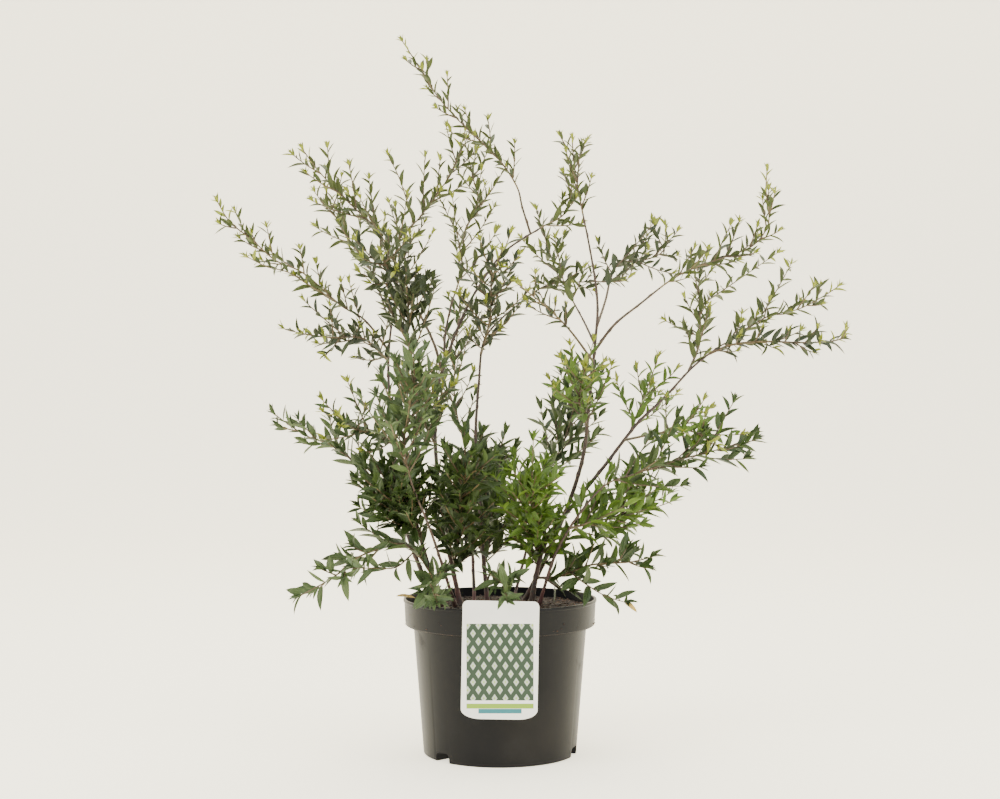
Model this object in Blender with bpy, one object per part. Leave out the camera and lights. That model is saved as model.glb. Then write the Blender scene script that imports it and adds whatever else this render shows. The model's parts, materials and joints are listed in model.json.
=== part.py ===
"""Grefsheim spirea in its round nursery pot: pot, soil, label, canes, boughs and masses of leafy twigs.

Metres, +Z up, -Y is the front. The pot stands on Z = 0 with its axis on the Z axis.
"""

import math
import random

import bpy
from mathutils import Vector
from mathutils.bvhtree import BVHTree

MM = 0.001
GAP = 0.3 * MM
OVERCUT = 2 * MM

# Pot: a three litre container, 190 mm over the lip.
POT_HEIGHT = 151 * MM
LIP_RADIUS = 95 * MM
LIP_HEIGHT = 2.6 * MM
COLLAR_RADIUS = 94.1 * MM
COLLAR_HEIGHT = 25.5 * MM
COLLAR_FOOT_RADIUS = 93 * MM
BODY_TOP_RADIUS = 85 * MM
BASE_RADIUS = 75 * MM
WALL = 1.5 * MM
FLOOR = 1.8 * MM
LEDGE_DROP = 1 * MM
SOIL_SLACK = 0.39 * MM
POT_SEGMENTS = 32

# Three drainage channels run in under the floor, a third of a turn apart.
CHANNEL_ANGLES = (-47, 73, 193)
CHANNEL_WIDTH = 18.5 * MM
CHANNEL_HEIGHT = 9 * MM
CHANNEL_SHOULDER = 4 * MM
CHANNEL_INNER_END = 46 * MM

SOIL_TOP = 143 * MM

# Label: a card on a tongue that hooks over the lip.
LABEL_WIDTH = 71 * MM
LABEL_HEIGHT = 109.5 * MM
LABEL_THICKNESS = 0.8 * MM
LABEL_TOP = 159.5 * MM
LABEL_TOP_CORNER = (5 * MM, 5 * MM)
LABEL_FOOT_CORNER = (18 * MM, 9 * MM)
CORNER_STEPS = 4
LABEL_LEAN = math.radians(1)
LABEL_GAP_TO_LIP = 0.5 * MM
TONGUE_WIDTH = 18 * MM
TONGUE_HEIGHT_OVER_LIP = 1.2 * MM
TONGUE_BACK = 90.2 * MM
TONGUE_FOOT = 131.5 * MM

# The plant is laid out as it looks from the front, in millimetres at the pot's axis, with its
# depth given apart. Seen from VIEW_DISTANCE at EYE_HEIGHT, what is nearer looks larger.
VIEW_DISTANCE = 1600
EYE_HEIGHT = 346

PATH_STEP = 4 * MM
CANE_SIDES = 6
CANE_RING_STEP = 34 * MM
BOUGH_RING_STEP = 24 * MM
FLARE_HEIGHT = 14 * MM
FLARE_RATIO = 1.7
SEAT_STEPS = 120
SEAT_STEP = 2 * MM
SEAT_TRIES = 6

TWIG_SIDES = 3
TWIG_RING_STEP = 34 * MM
STEM_RADII = (1.7 * MM, 0.9 * MM)
SIDE_TWIG_RADII = (1.1 * MM, 0.75 * MM)

GOLDEN_ANGLE = math.radians(137.5)
LEAF_LEAN = math.radians(44)
LEAF_LEAN_SPREAD = math.radians(12)
LEAF_ROLL = math.radians(50)
LEAF_WIDTH_SHARE = 0.31
LEAF_THICKNESS_SHARE = 0.036
LEAF_WIDEST_AT = 0.42
LEAF_CLEARANCE = 1.12
LEAF_SUNK = 0.2 * MM
LEAF_FREE_FROM = 0.3
TIP_LEAF_LEAN = math.radians(26)
TWIG_LENGTH = 44 * MM
TWIG_LEAN = math.radians(46)
TWIG_SHARES = (0.08, 0.8)
TWIG_TRIES = 4
HOME_SHARE = 0.8

CANE_COLOUR = (0.05, 0.028, 0.022)
BOUGH_COLOUR = (0.06, 0.04, 0.025)
LEAF_COLOUR = (0.10, 0.15, 0.045)
POT_COLOUR = (0.03, 0.03, 0.032)
SOIL_COLOUR = (0.035, 0.022, 0.016)
CARD_COLOUR = (0.78, 0.78, 0.75)
BARK_ROUGHNESS = 0.6
LEAF_ROUGHNESS = 0.55
POT_ROUGHNESS = 0.45
SOIL_ROUGHNESS = 0.95
CARD_ROUGHNESS = 0.35


def cane(name, points, depths, thick, wood, leaf, spacing, **more):
    """A cane from the soil. wood is the share of its length that stays bare of leaves."""
    return dict(name=name, parent=None, points=points, depths=depths, thick=thick,
                wood=wood, leaf=leaf, spacing=spacing, limb="cane_" + name, **more)


def bough(name, parent, points, depth, thick, wood, leaf, spacing, **more):
    """A limb that leaves another one, and its leafy end."""
    return dict(name=name, parent=parent, points=points, depths=(None, depth), thick=thick,
                wood=wood, leaf=leaf, spacing=spacing, limb="bough_" + name, **more)


def spray(name, parent, points, depth, leaf, spacing, **more):
    """A leafy shoot with a stem of its own, seated on the limb named parent."""
    return dict(name=name, parent=parent, points=points, depths=(None, depth), thick=(2.6, 1.6),
                wood=0, leaf=leaf, spacing=spacing, limb=None, **more)


# Points are (across, height) from the front, depths run from the foot to the tip, thick is the
# diameter at the foot and at the tip, leaf the leaves' length and spacing the way between them.
# twigs is the number of side twigs grown by rule, and each of sides is one with a course of its own.
SHOOTS = [
    cane("left", [(-62, 143), (-81, 186), (-98, 240), (-105, 306), (-110, 380), (-104, 440), (-94, 505),
                  (-80, 524), (-69, 540), (-46, 572), (-34, 612)], (0, 75), (4.6, 2.0), 0.62, 29, 12,
         twigs=2, sides=[(0.42, [(-98, 561), (-111, 588)], 20)]),
    cane("left_inner", [(-58, 143), (-72, 188), (-86, 245), (-83, 300), (-82, 355), (-91, 416),
                        (-88, 452)], (-20, -75), (4.2, 1.8), 0.8, 30, 10, twigs=1),
    cane("middle", [(-39, 143), (-52, 208), (-63, 290), (-62, 350), (-52, 388), (-37, 427), (-21, 457),
                    (4, 491), (40, 515), (65, 531), (72, 567)], (5, 60), (4.8, 1.8), 0.86, 29, 8.5),
    cane("centre", [(-12, 143), (-17, 198), (-22, 272), (-24, 311), (-21, 360), (-16, 403), (2, 426),
                    (23, 443), (48, 459), (89, 462), (123, 463), (130, 474)], (15, 120), (4.4, 1.6), 0.76,
         28, 10),
    cane("right", [(22, 143), (44, 188), (67, 242), (82, 291), (88, 345), (93, 395), (96, 440),
                   (90, 486), (79, 542), (73, 578), (71, 604)], (20, -30), (5.0, 1.7), 0.85, 26, 8.5,
         sides=[(0.4, [(79, 590), (86, 602)], 5)]),
    cane("far_right", [(30, 143), (44, 203), (76, 247), (104, 282), (134, 321), (162, 348), (190, 378),
                       (216, 398), (229, 405), (262, 427), (294, 435), (319, 448), (334, 458)],
         (-10, 50), (5.0, 1.8), 0.7, 30, 11, sides=[(0.35, [(275, 458), (287, 480)], 90)]),
    cane("low_right", [(38, 143), (59, 203), (98, 257), (131, 272), (178, 287), (216, 297), (251, 306)],
         (-25, -110), (3.4, 1.6), 0.5, 32, 12, twigs=1),
    cane("back_left", [(-25, 143), (-28, 215), (-33, 288), (-43, 335), (-45, 365), (-42, 410),
                       (-35, 450)], (35, 210), (3.6, 1.8), 0.5, 33, 12, twigs=2),
    cane("back_right", [(12, 143), (30, 215), (39, 257), (55, 288), (68, 318), (78, 345), (86, 375)],
         (40, 200), (3.4, 1.6), 0.5, 33, 12, twigs=2),
    cane("front", [(-44, 143), (-67, 213), (-88, 267), (-94, 306), (-88, 345), (-80, 385)],
         (-35, -180), (3.2, 1.6), 0.55, 32, 12, twigs=2),

    bough("far_left", "left", [(-110, 395), (-133, 424), (-157, 439), (-193, 470), (-221, 483),
                               (-244, 503), (-266, 521), (-279, 542)], -80, (2.8, 1.8), 0.22, 29, 11,
          sides=[(0.16, [(-187, 458), (-208, 471), (-230, 477), (-250, 487)], -120)]),
    bough("left_high", "left", [(-108, 418), (-119, 453), (-130, 478), (-153, 509), (-166, 536),
                                (-172, 553)], 120, (2.4, 1.7), 0.3, 29, 10, twigs=1),
    bough("middle_left", "middle", [(-61, 373), (-65, 401), (-79, 430), (-94, 456), (-105, 484),
                                    (-121, 513), (-148, 539), (-176, 568), (-195, 593)], -70,
          (3.2, 1.7), 0.44, 29, 10, twigs=1),
    bough("middle_up", "middle", [(-57, 380), (-54, 409), (-48, 439), (-39, 469), (-34, 514),
                                  (-20, 535), (-26, 564), (-24, 591)], 110, (2.8, 1.7), 0.34, 29, 10,
          twigs=2),
    bough("top", "middle", [(30, 508), (22, 535), (16, 557), (-4, 586), (-32, 612), (-61, 644),
                            (-89, 688), (-97, 700)], 20, (2.4, 1.7), 0.2, 26, 10),
    bough("right_up", "right", [(93, 400), (82, 424), (64, 457), (55, 473), (44, 508)], 130,
          (2.4, 1.7), 0.36, 30, 10, twigs=1),
    bough("right_outer", "right", [(94, 392), (112, 419), (139, 441), (172, 466), (203, 480),
                                   (245, 495), (262, 513), (265, 530), (262, 551), (263, 573)], -80,
          (3.0, 1.8), 0.34, 28, 10, sides=[(0.4, [(229, 503), (236, 522)], -40)]),

    spray("left_side", "left", [(-110, 383), (-124, 398), (-138, 407), (-167, 407), (-195, 411)], -120,
          29, 11, twigs=1),
    spray("left_low", "left", [(-101, 232), (-119, 251), (-145, 285), (-166, 301), (-192, 311),
                               (-223, 332)], 40, 29, 9, bare=0.3),
    spray("left_middle", "left", [(-105, 301), (-122, 311), (-145, 318), (-161, 330)], -90, 30, 10,
          twigs=1),
    spray("crown_left", "bough_middle_left", [(-90, 448), (-104, 463), (-118, 490)], -120, 32, 10.5, twigs=2),
    spray("crown_centre", "centre", [(-18, 390), (-10, 425), (-8, 462), (2, 494)], -90, 32, 12, twigs=3),
    spray("right_inner", "right", [(90, 383), (69, 414), (48, 435), (30, 450), (17, 460)], -110, 28, 12,
          bare=0.35),
    spray("right_fork", "right", [(96, 416), (104, 444), (110, 469), (120, 481), (141, 483),
                                  (161, 493), (163, 518)], 120, 29, 10, bare=0.28, twigs=1),
    spray("right_middle", "right", [(85, 318), (78, 345), (84, 378)], -80, 32, 10.5, twigs=2),
    spray("far_right_fan", "far_right", [(186, 374), (196, 400), (197, 430), (196, 462), (205, 489)],
          110, 31, 11, sides=[(0.3, [(182, 414), (162, 424)], 60), (0.55, [(232, 462), (274, 491)], 150)]),
    spray("far_right_lower", "far_right", [(206, 391), (229, 400), (262, 403), (302, 402), (334, 405),
                                           (341, 416)], -110, 30, 11),
    spray("far_right_side", "far_right", [(128, 314), (137, 336), (150, 360)], 60, 31, 9, twigs=1),
    spray("right_droop", "far_right", [(122, 306), (157, 313), (187, 315), (214, 300)], -130, 31, 11,
          bare=0.25, twigs=1),
    spray("foot_left", "left_inner", [(-70, 182), (-93, 203), (-115, 200), (-143, 189), (-164, 171),
                                      (-198, 152)], -70, 34, 11,
          sides=[(0.14, [(-102, 181), (-122, 180), (-147, 180)], -95)]),
    spray("foot_right", "far_right", [(38, 170), (59, 172), (89, 183), (128, 186), (150, 191)], -70,
          34, 11, sides=[(0.3, [(82, 166), (103, 153), (124, 146)], -100)]),
    spray("rim_left", "left_inner", [(-62, 156), (-66, 172), (-68, 165), (-62, 146)], -112, 32, 10),
    spray("rim_front", "centre", [(-14, 164), (-8, 177), (1, 169), (7, 148)], -112, 30, 10, bare=0.45),
    spray("heart_left", "left_inner", [(-78, 212), (-94, 232), (-108, 262)], -90, 35, 12, twigs=3),
    spray("heart_front", "middle", [(-46, 178), (-40, 215), (-38, 255), (-28, 292)], -115, 35, 12, twigs=3),
    spray("heart_back", "centre", [(-16, 180), (-8, 222), (-12, 262), (-2, 296)], 120, 35, 12, twigs=3),
    spray("heart_right", "right", [(38, 176), (34, 210), (28, 240), (36, 272)], -105, 35, 12, twigs=3),
    spray("heart_far_right", "low_right", [(70, 218), (96, 226), (126, 236), (138, 256)], 10, 35, 12,
          twigs=2),
    spray("middle_leafy", "middle", [(-63, 300), (-74, 325), (-66, 356)], -60, 33, 10.5, twigs=2),
]


def front_view(across, height, depth):
    """The place, in metres, of what looks to be at (across, height) from the front."""
    stretch = 1 + depth / VIEW_DISTANCE
    return Vector((across * stretch, depth, EYE_HEIGHT + (height - EYE_HEIGHT) * stretch)) * MM


def seen_from_front(place):
    """The (across, height) at which a place looks to be, in millimetres."""
    stretch = 1 + place.y / MM / VIEW_DISTANCE
    return Vector((place.x / MM / stretch, EYE_HEIGHT + (place.z / MM - EYE_HEIGHT) / stretch))


def smooth_path(knots):
    """Points PATH_STEP apart on one smooth curve through the knots."""
    ends = [2 * knots[0] - knots[1], *knots, 2 * knots[-1] - knots[-2]]
    fine = [knots[0].copy()]
    for before, a, b, after in zip(ends, ends[1:], ends[2:], ends[3:]):
        pieces = max(2, round((b - a).length / PATH_STEP))
        for k in range(1, pieces + 1):
            t = k / pieces
            fine.append(0.5 * (2 * a + (b - before) * t + (2 * before - 5 * a + 4 * b - after) * t * t
                               + (3 * a - before - 3 * b + after) * t ** 3))
    return fine


def lengths_along(path):
    total = [0.0]
    for a, b in zip(path, path[1:]):
        total.append(total[-1] + (b - a).length)
    return total


def point_at(path, share):
    """(place, direction) at a share of the path's length."""
    total = lengths_along(path)
    wanted = min(max(share, 0), 1) * total[-1]
    for k in range(1, len(path)):
        if total[k] >= wanted or k == len(path) - 1:
            step = path[k] - path[k - 1]
            part = (wanted - total[k - 1]) / step.length
            return path[k - 1] + step * part, step.normalized()


def stretch_of(path, first, last):
    """The part of a path between two shares of its length."""
    total = lengths_along(path)
    inner = [p for p, s in zip(path, total) if first * total[-1] < s < last * total[-1]]
    return [point_at(path, first)[0], *inner, point_at(path, last)[0]]


def centre_line(rings):
    return [sum(ring, Vector()) / len(ring) for ring in rings]


def path_length(path):
    return lengths_along(path)[-1]


def across_of(direction):
    """A unit vector square to the direction, much the same for directions that are much the same."""
    helper = Vector((0, 1, 0)) if abs(direction.y) < 0.8 else Vector((1, 0, 0))
    return direction.cross(helper).normalized()


def plain_material(name, colour, roughness):
    """The material of that name, made where there is none yet."""
    material = bpy.data.materials.get(name)
    if material is None:
        material = bpy.data.materials.new(name)
        material.use_nodes = True
        shader = material.node_tree.nodes["Principled BSDF"]
        shader.inputs["Base Color"].default_value = (*colour, 1)
        shader.inputs["Roughness"].default_value = roughness
        shader.inputs["Metallic"].default_value = 0
    return material


def new_object(name, vertices, faces, colour, roughness):
    """A mesh object whose material is named after what it is made of."""
    mesh = bpy.data.meshes.new(name)
    mesh.from_pydata([tuple(v) for v in vertices], [], faces)
    mesh.update()
    mesh.materials.append(plain_material("plain_" + name.split("_")[0], colour, roughness))
    thing = bpy.data.objects.new(name, mesh)
    bpy.context.scene.collection.objects.link(thing)
    return thing


def tube_mesh(rings):
    """Vertices and faces of a closed tube through rings of equal count, with flat ends."""
    count = len(rings[0])
    vertices = [v for ring in rings for v in ring]
    faces = [tuple(reversed(range(count)))]
    for k in range(len(rings) - 1):
        for i in range(count):
            j = (i + 1) % count
            faces.append((k * count + i, k * count + j, (k + 1) * count + j, (k + 1) * count + i))
    faces.append(tuple(range((len(rings) - 1) * count, len(rings) * count)))
    return vertices, faces


def square_to(direction, near):
    """The unit vector square to the direction that is nearest to another one."""
    return (near - direction * near.dot(direction)).normalized()


def ring_round(centre, direction, u, radius, sides):
    """Points round a direction, counter-clockwise when it points at the eye."""
    v = direction.cross(u)
    return [centre + (u * math.cos(a) + v * math.sin(a)) * radius
            for a in (2 * math.pi * k / sides for k in range(sides))]


def tapered_rings(path, radii, sides, ring_step, u=None):
    """Rings along a path, whose radius runs from radii[0] to radii[1], with no twist from one to the next."""
    pieces = max(1, round(path_length(path) / ring_step))
    rings = []
    for k in range(pieces + 1):
        share = k / pieces
        place, direction = point_at(path, share)
        u = square_to(direction, u) if u else across_of(direction)
        radius = radii[0] + (radii[1] - radii[0]) * share
        rings.append(ring_round(place, direction, u, radius, sides))
    return rings


def flat_foot(rings, level):
    """The first ring slid along its limb into the level cut at its foot."""
    slope = sum((r - f for f, r in zip(rings[0], rings[1])), Vector()).normalized()
    rings[0] = [v + slope * ((level - v.z) / slope.z) for v in rings[0]]
    return rings


def seated(path, radii, sides, ring_step, seat):
    """Rings of a limb whose first one lies flat beside its parent, GAP or a little more clear of it."""
    centre, axis, parent_radius, parent_line, parent_tree = seat
    clear = parent_radius + radii[0] + GAP
    count = round(path_length(path) / SEAT_STEP)
    start = next(k for k in range(2, count) if way_to(point_at(path, k / count)[0], parent_line) > clear)
    rest = stretch_of(path, start / count, 1)
    direction = (rest[0] - centre).normalized()
    outward = (direction - axis * direction.dot(axis)).normalized()
    u = across_of(direction)
    for extra in range(SEAT_TRIES):
        way_out = parent_radius + GAP * (1 + extra / 2)
        first = []
        for v in ring_round(centre, direction, u, radii[0], sides):
            short = way_out - (v - centre).dot(outward)
            first.append(v + direction * (short / direction.dot(outward)))
        rings = [first, *tapered_rings(rest, radii, sides, ring_step, u)]
        if not parent_tree.overlap(tree_of([tube_mesh(rings)])):
            break
    return rings


def way_to(place, line):
    """How far a place is from a line of points."""
    best = math.inf
    for a, b in zip(line, line[1:]):
        t = min(1, max(0, (place - a).dot(b - a) / (b - a).length_squared))
        best = min(best, (place - a.lerp(b, t)).length)
    return best


def lathe(name, profile, segments, colour, roughness):
    """A solid turned about Z from (radius, height) points that start and end on the axis."""
    inner = profile[1:-1]
    vertices = [(0, 0, profile[0][1])]
    for radius, height in inner:
        for k in range(segments):
            a = 2 * math.pi * k / segments
            vertices.append((radius * math.cos(a), radius * math.sin(a), height))
    vertices.append((0, 0, profile[-1][1]))
    last = len(vertices) - 1
    faces = []
    for k in range(segments):
        j = (k + 1) % segments
        faces.append((0, 1 + j, 1 + k))
        for row in range(len(inner) - 1):
            low, high = 1 + row * segments, 1 + (row + 1) * segments
            faces.append((low + k, low + j, high + j, high + k))
        top = 1 + (len(inner) - 1) * segments
        faces.append((top + k, top + j, last))
    return new_object(name, vertices, faces, colour, roughness)


def block(name, outline, start, end, turn, colour=POT_COLOUR, roughness=POT_ROUGHNESS):
    """A bar with the (side, height) outline, from start to end along the turned front direction."""
    out = Vector((math.sin(turn), -math.cos(turn), 0))
    side = Vector((math.cos(turn), math.sin(turn), 0))
    rings = [[out * way + side * s + Vector((0, 0, h)) for s, h in outline] for way in (start, end)]
    vertices, faces = tube_mesh(rings)
    made = new_object(name, vertices, faces, colour, roughness)
    face_outwards(made)
    return made


def face_outwards(thing):
    """Turns a closed mesh the right way round."""
    mesh = thing.data
    mesh.calc_loop_triangles()
    volume = 0
    for corners in mesh.loop_triangles:
        a, b, c = (mesh.vertices[i].co for i in corners.vertices)
        volume += a.dot(b.cross(c))
    if volume < 0:
        mesh.flip_normals()


def channel_outline(grow):
    """The channel's cross-section, grown by a wall on all sides but the lowest."""
    half, top = CHANNEL_WIDTH / 2 + grow, CHANNEL_HEIGHT + grow
    shoulder = half - CHANNEL_SHOULDER / 2
    crown = shoulder - CHANNEL_SHOULDER
    foot = FLOOR / 2 if grow else -OVERCUT
    bend = top - CHANNEL_SHOULDER * 0.4
    return [(-half, foot), (half, foot), (half, CHANNEL_HEIGHT / 3), (shoulder, bend), (crown, top),
            (-crown, top), (-shoulder, bend), (-half, CHANNEL_HEIGHT / 3)]


def apply_boolean(thing, others, operation, solver):
    """Joins others to a thing, or cuts them from it, and removes them."""
    group = bpy.data.collections.new("operands")
    bpy.context.scene.collection.children.link(group)
    for other in others:
        bpy.context.scene.collection.objects.unlink(other)
        group.objects.link(other)
    modifier = thing.modifiers.new("join", "BOOLEAN")
    modifier.operand_type = "COLLECTION"
    modifier.collection = group
    modifier.operation = operation
    modifier.solver = solver
    bpy.context.view_layer.update()
    evaluated = thing.evaluated_get(bpy.context.evaluated_depsgraph_get())
    joined = bpy.data.meshes.new_from_object(evaluated)
    thing.modifiers.remove(modifier)
    thing.data = joined
    for other in others:
        bpy.data.objects.remove(other)
    bpy.data.collections.remove(group)


def build_pot():
    """Turned wall, collar and floor, with a roofed channel at each drainage notch."""
    collar_foot = POT_HEIGHT - COLLAR_HEIGHT
    lip_foot = POT_HEIGHT - LIP_HEIGHT
    outer = [(BASE_RADIUS, 0), (BODY_TOP_RADIUS, collar_foot - LEDGE_DROP),
             (COLLAR_FOOT_RADIUS, collar_foot), (COLLAR_RADIUS, lip_foot - LEDGE_DROP / 2),
             (LIP_RADIUS, lip_foot), (LIP_RADIUS, POT_HEIGHT)]
    inner = [(COLLAR_RADIUS - WALL, POT_HEIGHT), (COLLAR_FOOT_RADIUS - WALL, collar_foot + WALL),
             (BODY_TOP_RADIUS - WALL, collar_foot - LEDGE_DROP + WALL), (BASE_RADIUS - WALL, FLOOR)]
    pot = lathe("pot", [(0, 0), *outer, *inner, (0, FLOOR)], POT_SEGMENTS, POT_COLOUR, POT_ROUGHNESS)
    roofs = []
    cuts = []
    for degrees in CHANNEL_ANGLES:
        turn = math.radians(degrees)
        roof = block("roof", channel_outline(WALL), CHANNEL_INNER_END - WALL, BASE_RADIUS - WALL / 3, turn)
        cut = block("cut", channel_outline(0), CHANNEL_INNER_END, BASE_RADIUS + 3 * OVERCUT, turn)
        roofs.append(roof)
        cuts.append(cut)
    apply_boolean(pot, roofs, "UNION", "EXACT")
    apply_boolean(pot, cuts, "DIFFERENCE", "EXACT")
    return pot


def build_soil():
    """Fills the pot to its level, clear of the wall, the channels' roofs and the label's tongue."""
    collar_foot = POT_HEIGHT - COLLAR_HEIGHT
    slack = SOIL_SLACK
    slope = (COLLAR_RADIUS - COLLAR_FOOT_RADIUS) / COLLAR_HEIGHT
    top_radius = COLLAR_FOOT_RADIUS - WALL + slope * (SOIL_TOP - collar_foot) - slack
    profile = [(0, FLOOR + slack), (BASE_RADIUS - WALL - slack, FLOOR + slack),
               (BODY_TOP_RADIUS - WALL - slack, collar_foot - LEDGE_DROP + WALL + slack),
               (COLLAR_FOOT_RADIUS - WALL - slack, collar_foot + WALL + slack),
               (top_radius, SOIL_TOP), (0, SOIL_TOP)]
    soil = lathe("soil", profile, POT_SEGMENTS, SOIL_COLOUR, SOIL_ROUGHNESS)
    cuts = []
    for degrees in CHANNEL_ANGLES:
        cuts.append(block("cut", channel_outline(WALL + slack), CHANNEL_INNER_END - WALL - slack,
                          BASE_RADIUS + 4 * OVERCUT, math.radians(degrees)))
    half = TONGUE_WIDTH / 2 + 2 * slack
    front = TONGUE_BACK - 2 * slack
    slot = [(-half, TONGUE_FOOT - 2 * slack), (half, TONGUE_FOOT - 2 * slack),
            (half, SOIL_TOP + OVERCUT), (-half, SOIL_TOP + OVERCUT)]
    cuts.append(block("cut", slot, front - LABEL_THICKNESS, LIP_RADIUS, 0))
    apply_boolean(soil, cuts, "DIFFERENCE", "EXACT")
    return soil


def rounded_card():
    """The card's outline, seen from the front: small corners above, long flat ones below."""
    half = LABEL_WIDTH / 2
    top, foot = LABEL_TOP, LABEL_TOP - LABEL_HEIGHT
    corners = [(half, foot, -1, LABEL_FOOT_CORNER, -90), (half, top, 1, LABEL_TOP_CORNER, 0),
               (-half, top, 1, LABEL_TOP_CORNER, 90), (-half, foot, -1, LABEL_FOOT_CORNER, 180)]
    outline = []
    for x, z, up, (across, high), start in corners:
        centre_x = x - math.copysign(across, x)
        centre_z = z - up * high
        for k in range(CORNER_STEPS + 1):
            a = math.radians(start + 90 * k / CORNER_STEPS)
            outline.append((centre_x + across * math.cos(a), centre_z + high * math.sin(a)))
    return outline


def build_label():
    """Card in front of the lip, and the tongue that hooks over the lip into the soil."""
    face = LIP_RADIUS + LABEL_GAP_TO_LIP
    middle = LABEL_TOP - LABEL_HEIGHT / 2
    cos, sin = math.cos(LABEL_LEAN), math.sin(LABEL_LEAN)
    leaning = [(s * cos + (h - middle) * sin, middle + (h - middle) * cos - s * sin)
               for s, h in rounded_card()]
    card = block("label", leaning, face, face + LABEL_THICKNESS, 0, CARD_COLOUR, CARD_ROUGHNESS)
    over = POT_HEIGHT + TONGUE_HEIGHT_OVER_LIP
    half = TONGUE_WIDTH / 2
    strip = [(-half, over), (half, over), (half, over + LABEL_THICKNESS), (-half, over + LABEL_THICKNESS)]
    hook = [(-half, TONGUE_FOOT), (half, TONGUE_FOOT), (half, over + LABEL_THICKNESS),
            (-half, over + LABEL_THICKNESS)]
    bridge = block("bridge", strip, TONGUE_BACK - LABEL_THICKNESS / 2, face + LABEL_THICKNESS / 2, 0)
    tail = block("tail", hook, TONGUE_BACK - LABEL_THICKNESS, TONGUE_BACK, 0)
    apply_boolean(card, [bridge, tail], "UNION", "EXACT")
    return card


def lay_out(shoot, made):
    """Gives a shoot its path, and where it leaves its parent."""
    points = shoot["points"]
    first, last = shoot["depths"]
    shoot["seat"] = None
    if shoot["parent"]:
        parent = made[shoot["parent"]]
        line = centre_line(parent["rings"])
        share = min((k / SEAT_STEPS for k in range(1, SEAT_STEPS)),
                    key=lambda s: (seen_from_front(point_at(line, s)[0]) - Vector(points[0])).length)
        place, axis = point_at(line, share)
        first = place.y / MM
        shoot["seat"] = (place, axis, radius_at(parent["rings"], line, share), line,
                         tree_of([tube_mesh(parent["rings"])]))
    spans = [0.0]
    for a, b in zip(points, points[1:]):
        spans.append(spans[-1] + math.dist(a, b))
    knots = [front_view(x, z, first + (last - first) * s / spans[-1]) for (x, z), s in zip(points, spans)]
    if shoot["seat"]:
        knots[0] = shoot["seat"][0].copy()
    shoot["path"] = smooth_path(knots)
    if shoot["limb"]:
        shoot["rings"] = limb_rings(shoot)
    made[shoot["name"]] = shoot


def radius_at(rings, line, share):
    """The widest radius of a limb on the stretch between two rings that holds a share of its length."""
    total = lengths_along(line)
    k = next(k for k in range(1, len(line)) if total[k] >= share * total[-1])
    return max((v - line[j]).length for j in (k - 1, k) for v in rings[j] if j or k == 1)


def limb_rings(shoot):
    """The bare wood of a cane or bough, which ends where its leaves begin."""
    wood = stretch_of(shoot["path"], 0, shoot["wood"])
    radii = tuple(d / 2 * MM for d in shoot["thick"])
    if shoot["seat"]:
        rings = seated(wood, radii, CANE_SIDES, BOUGH_RING_STEP, shoot["seat"])
    else:
        above, direction = point_at(wood, FLARE_HEIGHT / path_length(wood))
        u = across_of(direction)
        foot = ring_round(wood[0], direction, u, radii[0] * FLARE_RATIO, CANE_SIDES)
        rest = tapered_rings(stretch_of(wood, FLARE_HEIGHT / path_length(wood), 1),
                             (radii[0] * 1.06, radii[1]), CANE_SIDES, CANE_RING_STEP, u)
        rings = [foot, *rest]
        rings = flat_foot(rings, SOIL_TOP + GAP)
    return rings


def build_limb(shoot):
    vertices, faces = tube_mesh(shoot["rings"])
    colour = BOUGH_COLOUR if shoot["seat"] else CANE_COLOUR
    return new_object(shoot["limb"], vertices, faces, colour, BARK_ROUGHNESS)


def blade(root, direction, face, length):
    """Vertices and faces of one leaf: a keel from root to tip below, two wings above."""
    side = face.cross(direction).normalized()
    wide = root + direction * length * LEAF_WIDEST_AT + face * length * LEAF_THICKNESS_SHARE
    half = side * length * LEAF_WIDTH_SHARE / 2
    vertices = [root, wide + half, wide - half, root + direction * length]
    faces = [(0, 2, 1), (3, 1, 2), (0, 1, 3), (0, 3, 2)]
    return vertices, faces


def tree_of(meshes):
    """One search tree over several meshes."""
    vertices, faces = [], []
    for more, corners in meshes:
        faces += [tuple(i + len(vertices) for i in face) for face in corners]
        vertices += more
    return BVHTree.FromPolygons(vertices, faces)


def mesh_data(thing):
    return ([v.co.copy() for v in thing.data.vertices], [tuple(p.vertices) for p in thing.data.polygons])


def grown(mesh, about, factor):
    vertices, faces = mesh
    return [about + (v - about) * factor for v in vertices], faces


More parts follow.
